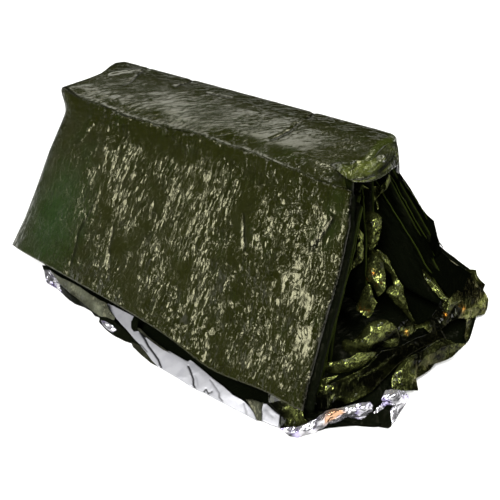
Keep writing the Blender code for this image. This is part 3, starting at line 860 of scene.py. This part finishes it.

# ---------------------------------------------------------------------------------------------
# Hem turns. Where the floor ply's edge has folded back once more it shows a leaf of olive with a painted
# sheen, a crushed bit of the metal side or near-black leaves of painted shadow, and at the corner a narrow
# pleat runs down to the floor.

HEM_TURNS = {           # the film, then the parts
    "turned_corner": ("dark", (leaf_part((
        (339, 421, 0.8), (342, 419, 1), (346, 417.5, 1.2), (352, 417.9, 1.2), (361, 419.3, 1.2),
        (366, 415.3, 1.6), (371, 411.5, 2.2), (373, 413.5, 1.2), (377, 413, 1.2), (383, 409.5, 1.7),
        (387, 405, 2.4), (393, 406.3, 1.8), (391, 411, 1.4), (390, 417, 1.1), (392, 423, 0.7),
        (391, 426.5, 0.6), (388, 428.5, 0.6), (376, 426.5, 0.6), (366, 426, 0.6), (360, 425, 0.6),
        (350, 423.5, 0.6),
    ), (
        (372, 419, 1.4, 0.06), (383, 416, 1.8, 0.05), (356, 421, 1.4, 0.12), (363, 421.5, 1.2, 0.35),
        (380, 423, 0.9, 0.04),
    ), light=0),)),
    "hem_scrap": ("metal", (leaf_part((
        (44, 269.5, 5.5, 0.4), (50, 270, 6, 0.4), (55, 274, 5.5, 0.5), (60, 279, 5, 0.6),
        (60.5, 284.5, 3.6, 0.5), (59, 286.5, 2.8, 0.6), (62, 291, 1.2, 0.8), (63.5, 295, 0.6, 0.8),
        (58, 289.5, 1, 0.7), (52, 286, 1.2, 0.7), (47, 283, 1.6, 0.5), (45, 277, 3.4, 0.4),
    ), (
        (51, 276, 4, 0.5), (52, 281.5, 2.6, 0.2), (56, 281, 3.2, 0.6), (48, 280, 2.6, 0.6),
        (49, 273, 5, 0.5),
    )), leaf_part((
        (101, 320, 2.9, 0.5), (106, 321.5, 3.1, 0.7), (112, 325, 2.9, 0.9), (117.5, 330, 2.3, 0.8),
        (113, 332.5, 1.5, 0.7), (107, 329, 1.6, 0.7), (103, 324.5, 2.1, 0.5),
    ), (
        (109, 326, 2.6, 0.7),
    )),)),
    # near-black leaves that stand in for the shadow under the hem: painted shadow
    "painted_hem_shadow": ("dark", (leaf_part((
        (42, 265, 6.4), (46, 265.5, 6.9), (49, 270, 5.9), (44, 271, 4.9),
    ), light=0.05), leaf_part((
        (59, 284, 3.4), (63, 287, 3.6), (70, 294, 3.2), (78, 299.5, 2.8), (85, 305, 2.6), (91, 311, 1.8),
        (83, 306.5, 0.8), (75, 304, 0.6), (70, 300.5, 0.6), (65, 296.5, 0.7), (62, 291, 1.4),
    ), light=0), leaf_part((
        (89, 308, 2.2), (94, 312, 2.2), (99, 316, 2), (95, 316.5, 0.8),
    ), light=0), leaf_part((
        (100, 317, 2.4), (106, 317.5, 3), (114, 321, 3), (122, 327, 2.6), (130, 335, 2.2), (136, 341, 1.9),
        (141, 345.5, 1.4), (133, 344, 0.7), (124, 341, 0.6), (113, 335.5, 0.5), (106, 330, 0.6),
        (99, 322, 1),
    ), light=0), leaf_part((
        (134.5, 316.5, 5), (138, 319, 5), (138, 325, 4.2), (137, 330, 3.4), (133, 331, 3),
        (130.8, 327, 3.2), (131.3, 321.5, 4),
    ), (
        (135.5, 322, 4.4, 0.5),
    ), light=0),)),
    "hem_band": ("grey", (leaf_part((
        (50, 270, 6.3, 0.6), (60, 277, 6.4, 0.6), (70, 281.5, 6.6, 0.7), (80, 287, 6.6, 0.7),
        (90, 294, 6.5, 0.6), (100, 300, 6.2, 0.5), (106.5, 303, 5.8, 0.5), (110, 311, 4.2, 0.7),
        (115, 317.5, 3, 0.7), (114, 320.5, 2.4, 0.7), (107, 317.5, 3, 0.6), (100, 316.5, 2.6, 0.8),
        (92, 311, 2.9, 0.4), (85, 305, 3.3, 0.4), (78, 299, 3.7, 0.3), (70, 293, 4, 0.4),
        (63, 287, 4, 0.4), (60, 284, 4.2, 0.5),
    ), (
        (70, 287, 5.6, 0.9), (80, 293, 5.5, 0.8), (90, 300, 5.1, 0.7), (98, 308, 4.2, 1),
        (104, 310, 4.4, 0.6), (76, 295, 4.4, 0.3), (86, 302, 4, 0.3),
    ), ((18, 19), (19, 20), (20, 21))), leaf_part((
        (136, 327, 3.4), (140, 328, 3.8), (147, 335.5, 3.4), (155, 341.5, 3.2), (163, 347.5, 3),
        (171, 353.5, 2.8), (163, 349.8, 2.5), (155, 344, 2.5), (147, 338, 2.5), (140, 332, 2.6),
    ), light=0.35), leaf_part((
        (131, 341.5, 1.2), (140, 345.5, 1.5), (146, 352.5, 1.3), (152, 360.5, 1.1), (158, 367, 0.9),
        (150, 362.5, 0.6), (140, 354, 0.6), (133, 347, 0.6),
    ), light=0.25), leaf_part((
        (245, 398.5, 3.4, 0.4), (252, 399, 3.6, 0.5), (258, 401, 3.4, 0.5), (261, 402.5, 3.2, 0.6),
        (263.5, 402, 3, 0.7), (261.5, 408, 2.4, 0.5), (262, 415, 1.8, 0.5), (261.5, 421.5, 1.1, 0.5),
        (257, 420.5, 1.2, 0.5), (254, 413, 1.8, 0.4), (250, 407, 2.4, 0.35),
    ), (
        (256, 406, 3, 0.6), (258, 413, 2.2, 0.45),
    )),)),
    "corner_pleat": ("loose", (leaf_part((
        (268, 390, 8, 0), (276, 390.5, 8.2, 0.05), (284, 392, 8.4, 0.1), (293, 386, 9.5, 0.35),
        (299, 388, 9.8, 0.4), (302, 396, 8.4, 0.55), (303, 404, 6.8, 0.6), (303, 412, 4.8, 0.45),
        (304, 418, 3.4, 0.75), (310, 423, 1.6, 0.9), (303, 426.5, 0.8, 0.8), (296, 428, 0.7, 0.45),
        (287, 429.5, 0.6, 0.2), (280, 429, 0.6, 0.05), (280.5, 415, 3.6, 0), (276, 411, 4.4, 0),
        (268, 403, 5.6, 0),
    ), (
        (284, 400, 7.2, 0.1), (290, 408, 5.6, 0.5), (296, 400, 7.8, 0.6), (298, 412, 4.6, 0.25),
        (292, 420, 2.6, 0.55), (299, 421, 2.4, 0.75), (286, 418, 2.8, 0.15), (289, 395, 8.4, 0.55),
    ), ((18, 21), (19, 22))),)),
}
# the hem band's grey olive is a painted sheen on the olive film
painted_sheen_film = olive_lacquered_film("olive_lacquered_film_painted_sheen", "#16170F", "#5C5E4E",
                                 pucker=0.8, roughness=0.3, gloss=0.2)
loose_film = olive_lacquered_film("olive_lacquered_film_loose", "#070803", "#747B42",
                                  pucker=1.2, gloss=0.15, metal=0.8, coat=0.1)
turn_films = {"loose": loose_film, "metal": crushed_metal, "dark": painted_dark_film, "grey": painted_sheen_film}
for seed, (name, (film, parts)) in enumerate(HEM_TURNS.items(), start=15):
    folded_film(name, parts, turn_films[film], seed, (3.0, 0.35))

# ---------------------------------------------------------------------------------------------
# Loose leaves. In the fanned end single layers have slipped out of the pleats and hang or lie between
# them, sharply crumpled, and run out over the floor in a flare. They are the same film.

LOOSE_LEAVES = {
    "ridge_lip": (leaf_part((
        (330, 164.5, 59, 0.15), (338, 162, 59.4, 0.3), (348, 161.5, 59.6, 0.3), (356, 160, 59.8, 0.35),
        (363, 160.5, 59.8, 0.8), (370, 161.5, 59.6, 1), on_x(376, 157, 71.4, 0.6), (384, 147, 59.9, 0.4),
        (390, 143, 59.8, 0.4), (396, 141, 59, 0.45), on_x(398, 147, 75, 0.3), on_x(399, 158, 77.4, 0.4),
        on_x(398, 165, 78.5, 0.3), on_x(392, 169, 78.6, 0.35), on_x(386, 174.5, 78.4, 0.45),
        on_x(379, 178.5, 77.4, 0.5), on_x(371, 181.5, 75.8, 0.5), on_x(362, 182.5, 73.6, 0.4),
        (353, 182, 58, 0.4), (346, 178, 58.2, 0.5), (339, 172, 58.5, 0.55),
    ), (
        (345, 171, 59.2, 0.85), (352, 166, 59.2, 0.7), (358, 169, 57.6, 1), (365, 165.5, 58.4, 1),
        on_x(371, 167, 72.6, 0.95), on_x(378, 161, 73.2, 0.7), on_x(384, 154, 73.6, 0.5),
        on_x(391, 148, 73.8, 0.4), on_x(360, 175, 71.8, 0.65), (352, 176, 58, 0.7),
        on_x(369, 174.5, 74, 0.7), on_x(377, 169, 75, 0.6), on_x(385, 163, 75.6, 0.45),
        on_x(392, 155, 75.4, 0.4), on_x(366, 179, 74.4, 0.3), on_x(375, 174.5, 76, 0.3),
        on_x(386, 167, 76.8, 0.25),
    ), ((23, 25), (25, 26), (26, 27), (27, 28), (29, 31), (31, 32), (32, 33), (33, 34), (35, 36), (36, 37)),
       scale=0.8),),
    "upper_pleat": (leaf_part((
        (357, 184, 46.5, 0.1), (361, 184, 46.5, 0.5), (368, 188, 45, 0.8), (375, 186, 45.5, 0.6),
        (381, 187, 46, 0.4), (386, 181, 49, 0.8), (389, 174, 52, 0.7), (391, 180, 49, 0.1),
        (386, 190, 45, 0.1), (380, 195, 42.5, 0.2), (377, 199, 41, 0.6), (379, 209, 39, 0.9),
        (377.5, 210, 38.6, 0.6), (375.5, 201, 40.6, 0.5), (372, 203, 40, 0.9), (368, 205, 39, 0.7),
        (366, 199, 40.5, 0.3), (362, 197, 41, 1), (358, 192, 42.5, 0.2),
    ), (
        (368, 197, 41.5, 0.4), (371, 200, 41, 0.8), (368, 192, 42.5, 0.2), (376, 191, 43, 0.3),
        (383, 187, 45.5, 0.3), (363, 190, 43.5, 0.2),
    ), ((0, 24), (24, 21)), scale=1.3), leaf_part((
        (362, 213, 37, 0.3), (370, 210, 39, 0.35), (378, 214, 39, 0.4), (382, 218, 38, 0.8),
        (381, 226, 36, 0.8), (380, 233, 34, 0.5), (378, 242, 31, 0.4), (374, 248, 28, 0.6),
        (369, 251, 26, 0.6), (365, 245, 27, 0.35), (362, 235, 30, 0.45), (361, 225, 33, 0.4),
    ), (
        (370, 220, 39.5, 0.35), (376, 219, 40, 1), (367, 226, 35, 0.5), (373, 228, 38, 0.45),
        (377, 231, 37.5, 1), (373, 237, 34.5, 1), (371, 243, 31.5, 1), (366, 236, 31, 0.3),
    ), ((12, 13), (13, 3), (16, 17), (17, 18), (18, 8)), scale=1.6), leaf_part((
        (356, 230, 36, 0.2), (359, 228, 37, 1), (361, 231, 36, 0.9), (363, 234, 35, 1),
        (363.5, 246, 31, 0.9), (363.5, 257, 27, 0.9), (362, 262, 25, 0.5), (357, 266, 23, 0.6),
        (351, 270, 21, 0.5), (350, 266, 22, 0.4), (355, 257, 26, 0.5), (357, 248, 30, 0.5),
        (358.5, 240, 33, 0.3),
    ), (
        (361.8, 240, 33.5, 1), (361.5, 250, 30, 1), (359, 258, 26.5, 0.6), (355, 263, 24, 0.8),
    ), ((2, 13), (13, 14)), scale=1.2),),
    "folded_leaf": (leaf_part((
        (370, 250, 27, 0.2), (375, 249.5, 27.5, 0.3), (379, 253, 27, 0.3), (383, 262, 25, 0.3),
        (385, 270, 23, 0.4), (386, 279, 21, 0.5), (386, 287, 19, 0.7), (384, 291, 17.5, 0.7),
        (378, 297.5, 15, 0.4), (375, 291, 17, 0.3), (371, 283, 19, 0.35), (366, 281, 18.5, 0.9),
        (364, 272, 20, 0.35), (366, 262, 23, 0.25),
    ), (
        (373, 262, 26, 0.4), (371, 273, 23.5, 0.9), (378, 270, 24, 0.3), (381, 277, 22.5, 0.8),
        (378, 284, 20.5, 0.6), (374, 279, 22, 0.6), (376, 256, 27.8, 0.5),
    ), ((1, 20), (20, 14), (14, 15), (16, 17), (17, 18)), scale=1.2), leaf_part((
        (365, 286, 18, 0.35), (369, 283, 19, 0.5), (371, 289, 18.5, 0.6), (373, 296, 16.5, 0.4),
        (377, 302, 14.5, 1), (374, 309, 12, 0.7), (371, 315, 9.5, 0.5), (368, 318, 8, 0.8),
        (362, 314, 8.5, 0.8), (356, 310, 9, 0.7), (358, 302, 11.5, 0.3), (361, 293, 15, 0.35),
    ), (
        (366, 292, 17, 0.4), (370, 293, 18, 1), (368, 299, 16, 0.5), (371, 305, 13.5, 0.3),
        (362, 304, 12.5, 0.5), (363, 309, 10.5, 0.7), (369, 311, 10, 0.7),
    ), ((1, 13), (13, 14), (14, 15)), scale=1.7),),
    "diagonal_fold": (leaf_part((
        (376, 249, 28, 0.4), (381, 251, 27.5, 0.6), (388, 257, 25.5, 0.8), (391, 266, 23, 0.6),
        (395, 273, 21, 0.6), (399, 280, 19, 0.7), (403, 286, 17.5, 1), (405, 299, 14, 0.7),
        (409, 311, 10, 0.6), (413, 318, 7, 0.5), (416, 323, 5, 0.3), (412, 322, 5, 0.3),
        (406, 315, 7, 0.4), (399, 307, 9.5, 0.5), (392, 300, 12, 0.8), (386, 292, 15, 0.9),
        (388, 288, 16.5, 0.6), (393, 284, 18, 0.3), (391, 276, 19, 0.2), (386, 270, 20.5, 0.3),
        (382, 262, 23, 0.5), (379, 255, 26, 0.4),
    ), (
        (386, 263, 24.5, 1), (395, 290, 17.8, 1), (391, 294, 16.2, 1), (397, 297, 15.5, 0.8),
        (401, 292, 17, 0.5), (403, 303, 12.5, 0.5), (396, 283, 18.5, 0.8),
    ), ((1, 22), (22, 3), (6, 26), (26, 27)), scale=1.3),),
    "upper_ridge": (leaf_part((
        (341, 348, 6, 0.3), (342, 341, 8, 0.4), (346, 339, 9, 0.35), (352, 340.5, 10.5, 0.3),
        (357, 337, 12, 0.4), (362, 330.5, 14, 0.4), (367, 325, 15.5, 0.4), (373, 321, 16.5, 0.4),
        (380, 319.5, 17, 0.4), (386, 320, 16.5, 0.5), (392, 323, 15, 0.9), (397, 328, 13.5, 0.4),
        (400, 337, 10.5, 0.4), (399, 346, 7, 0.4), (392, 347, 7.5, 0.7), (384, 347.5, 7.5, 0.3),
        (378, 349.5, 7.5, 0.15), (370, 352, 7.5, 0.2), (362, 353, 7.5, 0.3), (357, 354.5, 7, 0.4),
        (353, 357, 6, 0.5), (347, 353, 6, 0.3),
    ), (
        (349, 345, 9.5, 0.6), (355, 346, 10.5, 0.9), (360, 344, 12, 1), (367, 346, 11.5, 1),
        (363, 339, 13.5, 0.5), (369, 342, 13, 1), (371, 334, 15.5, 0.7), (378, 337, 13.5, 0.9),
        (380, 332.5, 15.2, 1), (387, 331.5, 14.6, 1), (376, 328, 16.5, 1), (384, 326, 16.5, 0.9),
        (382, 341, 11, 0.1), (389, 337, 11.5, 0.15), (392, 342, 10, 0.9), (372, 348, 9.5, 0.15),
        (357, 350, 8.5, 0.4),
    ), ((23, 24), (24, 25), (25, 27), (27, 29), (29, 30), (30, 31))), leaf_part((
        (400, 322, 12, 0.1), (408, 319, 12.5, 0.15), (413, 325, 11, 0.3), (412, 333, 9.5, 0.5),
        (406, 339, 8, 0.3), (400, 338, 8.5, 0.3), (397, 329, 10.5, 0.2),
    ), (
        (408, 331, 10.6, 1), (404, 326, 11.6, 0.3),
    )),),
    "lower_ridge": (leaf_part((
        (314, 368, 6, 0.5), (317, 364, 7.5, 0.5), (324, 361.5, 9, 0.3), (331, 362, 10, 0.4),
        (337, 361, 11, 0.6), (343, 359, 12, 0.5), (350, 358, 12.5, 0.5), (357, 353, 13.5, 0.9),
        (365, 352, 13.5, 0.5), (372, 351, 13, 0.4), (377, 352, 12, 0.5), (373, 357, 10.5, 0.6),
        (369, 361, 9, 0.9), (364, 366, 7.2, 0.7), (356, 370, 6, 0.4), (348, 373, 5.5, 0.35),
        (337, 373.5, 5.5, 0.4), (330, 373, 5.5, 0.4), (321, 371, 5.5, 0.3),
    ), (
        (325, 366.5, 9, 1), (331, 367, 9, 0.4), (335, 367.5, 9.3, 1), (337, 363.5, 11, 1),
        (341, 369, 8.5, 0.9), (345, 364, 11, 0.8), (352, 366, 9.8, 0.9), (357, 361, 11.8, 1),
        (358, 365, 9.5, 1), (363, 357, 12.3, 0.8), (363, 364, 8.8, 1), (367, 358, 11.5, 0.9),
        (367, 363, 8.8, 0.7), (328, 370, 7, 0.6),
    ), ((0, 19), (19, 22), (22, 24), (24, 26), (26, 30))), leaf_part((
        (321, 380, 6, 0.6), (325, 378, 7, 1), (331, 376.5, 8, 1), (338, 374.5, 8.5, 1),
        (336, 377.5, 7.5, 0.6), (331, 380.5, 6.8, 0.5), (326, 384, 6.5, 0.5), (333, 386, 6.8, 0.9),
        (335, 387.5, 6.4, 0.5), (331, 391, 5.2, 1), (326, 395.5, 3.8, 0.9), (321, 398.5, 2.5, 1),
        (318, 396, 2.5, 0.4), (315, 394.5, 2.2, 1), (313, 395.5, 2, 0.8), (315, 392, 3, 0.7),
        (319, 389.5, 4.5, 0.7), (320, 385, 5.5, 0.5),
    ), (
        (328, 379, 7.2, 1), (323, 386, 5.6, 0.5), (328, 388.5, 6, 0.6), (324, 392.5, 4.4, 0.5),
    ), ((18, 0), (18, 3))),),
    "sweep": (leaf_part((
        (314, 401, 4, 0.05), (322, 391, 5, 0.05), (331, 383, 6, 0.05), (345, 376.5, 7, 0.1),
        (357, 371.5, 7.5, 0.1), (368, 364.5, 8, 0.1), (376, 355, 9, 0.1), (382, 350, 9.5, 0.1),
        (392, 348.5, 9, 0.05), (402, 345, 8.5, 0.05), (415, 338, 8.5, 0.05), (430, 333, 8.5, 0.05),
        (441, 329, 8, 0.05), (446, 338, 6, 0.1), (433, 343, 6, 0.1), (421, 348, 6, 0.1),
        (410, 354.5, 5.5, 0.1), (400, 362.5, 5, 0.1), (391, 372, 4, 0.1), (383, 381, 3.5, 0.3),
        (373, 390.5, 3, 0.6), (362, 398, 2.5, 0.8), (352, 402, 2, 0.8), (343, 405, 1.5, 0.5),
        (330, 412, 1, 0.1), (318, 410, 2, 0.05),
    ), (
        (336, 395, 4.6, 0.05), (350, 387, 5.6, 0.05), (362, 380, 6.2, 0.05), (373, 372, 6.6, 0.05),
        (383, 363, 7.2, 0.05), (398, 353.5, 7.4, 0.05), (415, 344, 7.4, 0.05), (430, 338.5, 7.4, 0.05),
    ), scale=0.5, below=0.7),),
    "flare_near": (leaf_part((
        (392, 389, 2.6, 0.6), (391, 381, 4.1, 1), (393, 375, 4.8, 0.8), (400, 364, 6.8, 0.7),
        (408, 357, 7.8, 0.8), (420, 351.5, 8.3, 0.4), (428, 346, 8.8, 0.35), (436, 341, 9.3, 0.3),
        (443, 338.5, 9.3, 0.5), (449, 340, 8.8, 0.7), (455, 343, 7.8, 0.9), (466, 343.5, 5.8, 0.9),
        (459, 350, 4.3, 0.4), (453, 356.5, 3.6, 0.35), (445, 360.5, 2.8, 0.35), (434.5, 363.5, 2.6, 0.35),
        (430, 370, 2.2, 0.3), (416, 378.5, 2.2, 0.3), (418, 390.5, 2.2, 0.4), (410, 390.5, 2.4, 0.5),
        (401, 390.5, 2.4, 0.5),
    ), (
        (408, 361, 8, 1), (409, 370, 6, 1), (414, 377, 3.8, 1), (402, 377, 5.2, 0.6), (401, 380.5, 4.4, 1),
        (410, 379, 4, 1), (394, 382, 4.2, 1), (419, 354, 7.8, 0.1), (417, 366, 5, 0.1),
        (425, 356, 7.4, 0.55), (424, 366, 4, 0.5), (434, 352, 7.3, 0.4), (434, 360, 4.4, 0.5),
        (441, 347, 8, 0.25), (446, 345, 7.8, 0.15), (448, 353, 4.8, 0.3), (404, 385, 3.4, 0.2),
        (411, 385, 3.2, 0.5), (397, 386, 3.2, 0.15), (403, 369, 6.8, 0.8),
    ), ((4, 21), (21, 22), (22, 23), (28, 29), (29, 17), (27, 25), (25, 26)), scale=0.6),),
    "flare_far": (leaf_part((
        (436, 262, 17, 0.05), (442, 254.5, 16, 0.05), (453, 262, 12.5, 0.1), (464, 269.5, 9.5, 0.2),
        (471, 269.5, 9, 0.5), (476, 270, 8.5, 0.5), (477, 275, 8, 0.7), (480, 280, 7.5, 0.4),
        (485, 284.5, 6.5, 0.2), (483, 290, 6.5, 0.3), (487, 296, 5, 0.9), (488.5, 300, 4, 0.4),
        (487, 309, 2.5, 0.5), (484, 314, 1.5, 0.6), (478, 316, 1.5, 0.6), (472, 318.5, 1.5, 0.8),
        (471, 326, 1, 0.8), (470, 336, 0.8, 0.7), (467, 343, 1, 0.6), (464, 337, 2.2, 0.3),
        (466, 326, 3, 0.3), (466, 319, 4.5, 0.6), (458, 318, 8, 0.2), (449, 322, 8, 0.1),
        (441, 329, 8, 0.1), (432, 334, 8, 0.1), (427, 331.5, 9.5, 0.6), (424, 327, 10.5, 1),
        (418, 328, 10.5, 0.9), (414, 333, 9, 0.3), (411, 330, 9.5, 0.1), (414, 325, 9.6, 0.3),
        (422, 322.5, 9.4, 0.05), (431, 318, 9.6, 0.05), (436, 309, 10.6, 0), (441, 299, 12.5, 0.1),
        (430, 284, 16, 0.05),
    ), (
        (448, 276, 14, 0.05), (460, 284, 11, 0.05), (472, 283, 9, 0.15), (478, 290, 8, 0.2),
        (477, 300, 7, 0.3), (480, 304, 5.5, 1), (470, 296, 9, 0.05), (462, 300, 10, 0.1),
        (455, 305, 10.5, 0.4), (463, 308, 9, 0.4), (471, 309, 6.5, 0.5), (468, 314, 6, 1),
        (452, 312, 9, 0.15), (446, 317, 9.5, 0.5), (457, 315, 8.5, 0.3), (480, 309, 4, 0.5),
        (449, 303, 13, 0.6), (447, 310, 11.5, 0.7), (437, 318, 9.4, 0.05), (428, 323.5, 9.8, 0.4),
        (442, 308, 11, 0.1), (476, 284, 8, 0.4), (433, 325, 9.5, 0.3),
    ), ((53, 54), (54, 50)), scale=0.6, below=0.55), leaf_part((
        (421, 268, 20, 0.3), (427, 273, 19, 0.6), (434, 280.5, 17.5, 0.7), (441, 289, 15.5, 0.8),
        (448, 299, 13.5, 0.7), (446, 302, 12.5, 0.5), (441, 299, 13.2, 0.7), (434, 291.5, 15, 0.7),
        (427, 283, 17, 0.4), (423, 275, 18.8, 0.3),
    ), (
        (431, 281, 18, 0.9), (440, 292, 15.6, 0.9),
    ), ((10, 11),)),),
    "rear_flap": (leaf_part((
        on_x(399, 172, 76, 0), on_x(410, 188, 77, 0), on_x(421, 207, 83, 0), on_x(427, 215, 88, 0),
        on_x(434, 221, 92, 0), on_x(438, 238, 98, 0), (442, 254, 16, 0.03), (436, 262, 17, 0),
        on_x(430, 256, 99, 0), on_x(424, 246, 96, 0), on_x(416, 232, 91, 0), on_x(408, 217, 86, 0),
        on_x(402, 200, 81, 0), on_x(398, 185, 78, 0),
    ), (
        on_x(411, 203, 82, 0), on_x(426, 232, 92, 0),
    ), ((0, 14), (14, 15), (15, 7))), leaf_part((
        (430, 262, 20.5, 0), (436, 258, 19.8, 0), (442, 253, 18.4, 0), (453, 263, 14.8, 0),
        (463, 268.5, 12, 0.05), (472, 274, 10, 0.05), (467, 280, 11, 0), (462, 292, 11, 0),
        (457, 290, 12.6, 0), (450, 298, 14, 0), (443, 289, 17, 0), (436, 280, 19, 0), (428, 272, 20.8, 0),
    ), (
        (452, 280, 15.2, 0), (443, 268, 17.6, 0),
    ), ((3, 13), (13, 9), (13, 14), (14, 0))),),
}
PAINTED_WARM_GLINTS = [(*in_space(*place), radius) for *place, radius in (      # painted warm reflections
    (371, 273, 23.5, 1.3), (367, 279, 19.5, 0.7), (379, 284, 20.5, 0.8), (362, 308.5, 11, 1.3),
    (367.5, 310.5, 10.2, 0.8), (408, 332, 10.5, 0.9), (446, 315, 9.8, 0.7), (463, 308, 9, 1.2))]
PAINTED_HIGHLIGHT_TABLE = {         # half width, strength, and places: thin ridges of the dark leaves, raised a little and painted lighter as highlights
    "ridge_lip": (
        (0.4, 0.8, (354, 181), (364, 181), (374, 177.5), (383, 172), (390, 166), (397, 154)),
        (0.4, 0.8, (372, 171), (378, 166), (385, 158)),
    ),
    "sweep": (
        (0.45, 0.45, (338, 379), (345, 377.3), (350, 374.7), (357, 370.5), (363, 367.5), (369, 363),
         (376, 357)),
        (0.45, 0.4, (358, 378), (367, 373.5), (376, 369), (385, 362), (392, 355.5)),
        (0.4, 0.35, (349, 380.5), (354, 377), (360, 371.5)),
        (0.45, 0.5, (345, 404), (353, 402), (362, 398), (367, 395), (373, 390.5)),
        (0.35, 0.3, (383, 361), (392, 355), (402, 350), (414, 343)),
    ),
    "flare_far": (
        (0.4, 0.5, (402, 262), (410, 275), (415, 290), (417.5, 299), (424, 301), (433, 302)),
        (0.4, 0.35, (433, 302), (429, 309), (427, 316)),
        (0.4, 0.5, (456, 309), (458, 318), (460, 328)),
    ),
}
LIP_PAINTED_DARK_CREASES = lifted(LOOSE_LEAVES["ridge_lip"], (        # creases in the lip, dented and painted dark as shade
    (0.4, 1.4, (352, 180), (362, 179.5), (372, 176), (379, 171), (386, 165), (395, 156)),
    (0.35, 0.7, (338, 163), (347, 165), (355, 162)),
    (0.35, 0.6, (341, 170), (350, 170.5), (357, 165)),
    (0.35, 0.4, (356, 177), (366, 172), (374, 171)),
))
shaded_film = olive_lacquered_film("olive_lacquered_film_shaded", "#030402", "#060804",
                                   pucker=0.8, roughness=0.6, gloss=0.0)
lip_film = olive_lacquered_film("olive_lacquered_film_lip", "#101208", "#5E662A",
                                pucker=1.2, metal=0.05, coat=0.2)
painted_highlight_ridges = [row for name, rows in PAINTED_HIGHLIGHT_TABLE.items() for row in lifted(LOOSE_LEAVES[name][:1], rows)]
for seed, (name, parts) in enumerate(LOOSE_LEAVES.items(), start=25):
    film, spacing, painted_dark_creases = loose_film, 0.8, ()
    if name == "ridge_lip":
        film, spacing, painted_dark_creases = lip_film, 0.5, LIP_PAINTED_DARK_CREASES
    elif name == "rear_flap":
        film = shaded_film
    folded_film(name, parts, film, seed, (3.6, 0.5), spacing=spacing, amber=PAINTED_WARM_GLINTS,
                painted_highlight_lines=painted_highlight_ridges if name in PAINTED_HIGHLIGHT_TABLE else (), painted_dark_creases=painted_dark_creases)

# ---------------------------------------------------------------------------------------------
# Studio. A plain white paper floor, one small soft lamp at the front left and two wide ones above.

floor_data = bpy.data.meshes.new("studio_floor")
half = 1.5
corners = [(-half, -half, 0), (half, -half, 0), (half, half, 0), (-half, half, 0)]
floor_data.from_pydata(corners, [], [(0, 1, 2, 3)])
studio_floor = bpy.data.objects.new("studio_floor", floor_data)
bpy.context.scene.collection.objects.link(studio_floor)
paper, _, shader = new_material("white_studio_paper")
shader.inputs["Base Color"].default_value = linear("#F4F4F2")
shader.inputs["Roughness"].default_value = 0.9
floor_data.materials.append(paper)

world = bpy.data.worlds.new("studio")
bpy.context.scene.world = world
world.use_nodes = True
world.node_tree.nodes["Background"].inputs["Color"].default_value = (1, 1, 1, 1)
world.node_tree.nodes["Background"].inputs["Strength"].default_value = 0.03


def softbox(name, place_mm, aim_mm, size_mm, power):
    data = bpy.data.lights.new(name, "AREA")
    data.shape, data.size, data.size_y, data.energy = "RECTANGLE", size_mm[0] * MM, size_mm[1] * MM, power
    lamp = bpy.data.objects.new(name, data)
    lamp.location = (Vector(place_mm) - Vector(ORIGIN)) * MM
    aim = (Vector(aim_mm) - Vector(ORIGIN)) * MM - lamp.location
    lamp.rotation_euler = aim.to_track_quat("-Z", "Y").to_euler()
    bpy.context.scene.collection.objects.link(lamp)


softbox("key", (0, -600, 800), (30, -30, 40), (400, 400), 14.0)
softbox("overhead", (300, 600, 1300), (0, 200, 0), (420, 420), 14.0)
softbox("back_left", (-540, 464, 680), (0, 0, 50), (700, 260), 2.7)
softbox("left_fill", (-850, -350, 330), (-60, -30, 30), (300, 300), 0.08)
softbox("front_panel", (-700, -760, 760), (0, -40, 30), (900, 900), 0.3)
softbox("right_glint", (800, 420, 380), (80, 0, 40), (160, 260), 0.4)
softbox("right_front", (620, -560, 480), (90, -10, 25), (160, 160), 1.5)
softbox("ridge_glint", (100, -250, 950), (0, 0, 50), (240, 240), 0.5)

# The camera looks down on the front right corner.
PITCH = math.radians(40.42)
CAMERA_PLACE = Vector((118.1, -152.4, 145.5))
head = Vector((-math.sin(TURN), math.cos(TURN), 0.0))
right = Vector((math.cos(TURN), math.sin(TURN), 0.0))
ahead = head * math.cos(PITCH) - Vector((0, 0, 1)) * math.sin(PITCH)
up = head * math.sin(PITCH) + Vector((0, 0, 1)) * math.cos(PITCH)
camera_data = bpy.data.cameras.new("camera")
camera_data.sensor_width, camera_data.lens = 36.0, 34.92
camera_data.clip_start, camera_data.clip_end = 0.005, 20.0
camera = bpy.data.objects.new("camera", camera_data)
stand = Matrix((right, up, -ahead)).transposed().to_4x4()
stand.translation = (CAMERA_PLACE - Vector(ORIGIN)) * MM
camera.matrix_world = stand
bpy.context.scene.collection.objects.link(camera)
bpy.context.scene.camera = camera
bpy.context.scene.view_settings.view_transform = "Standard"
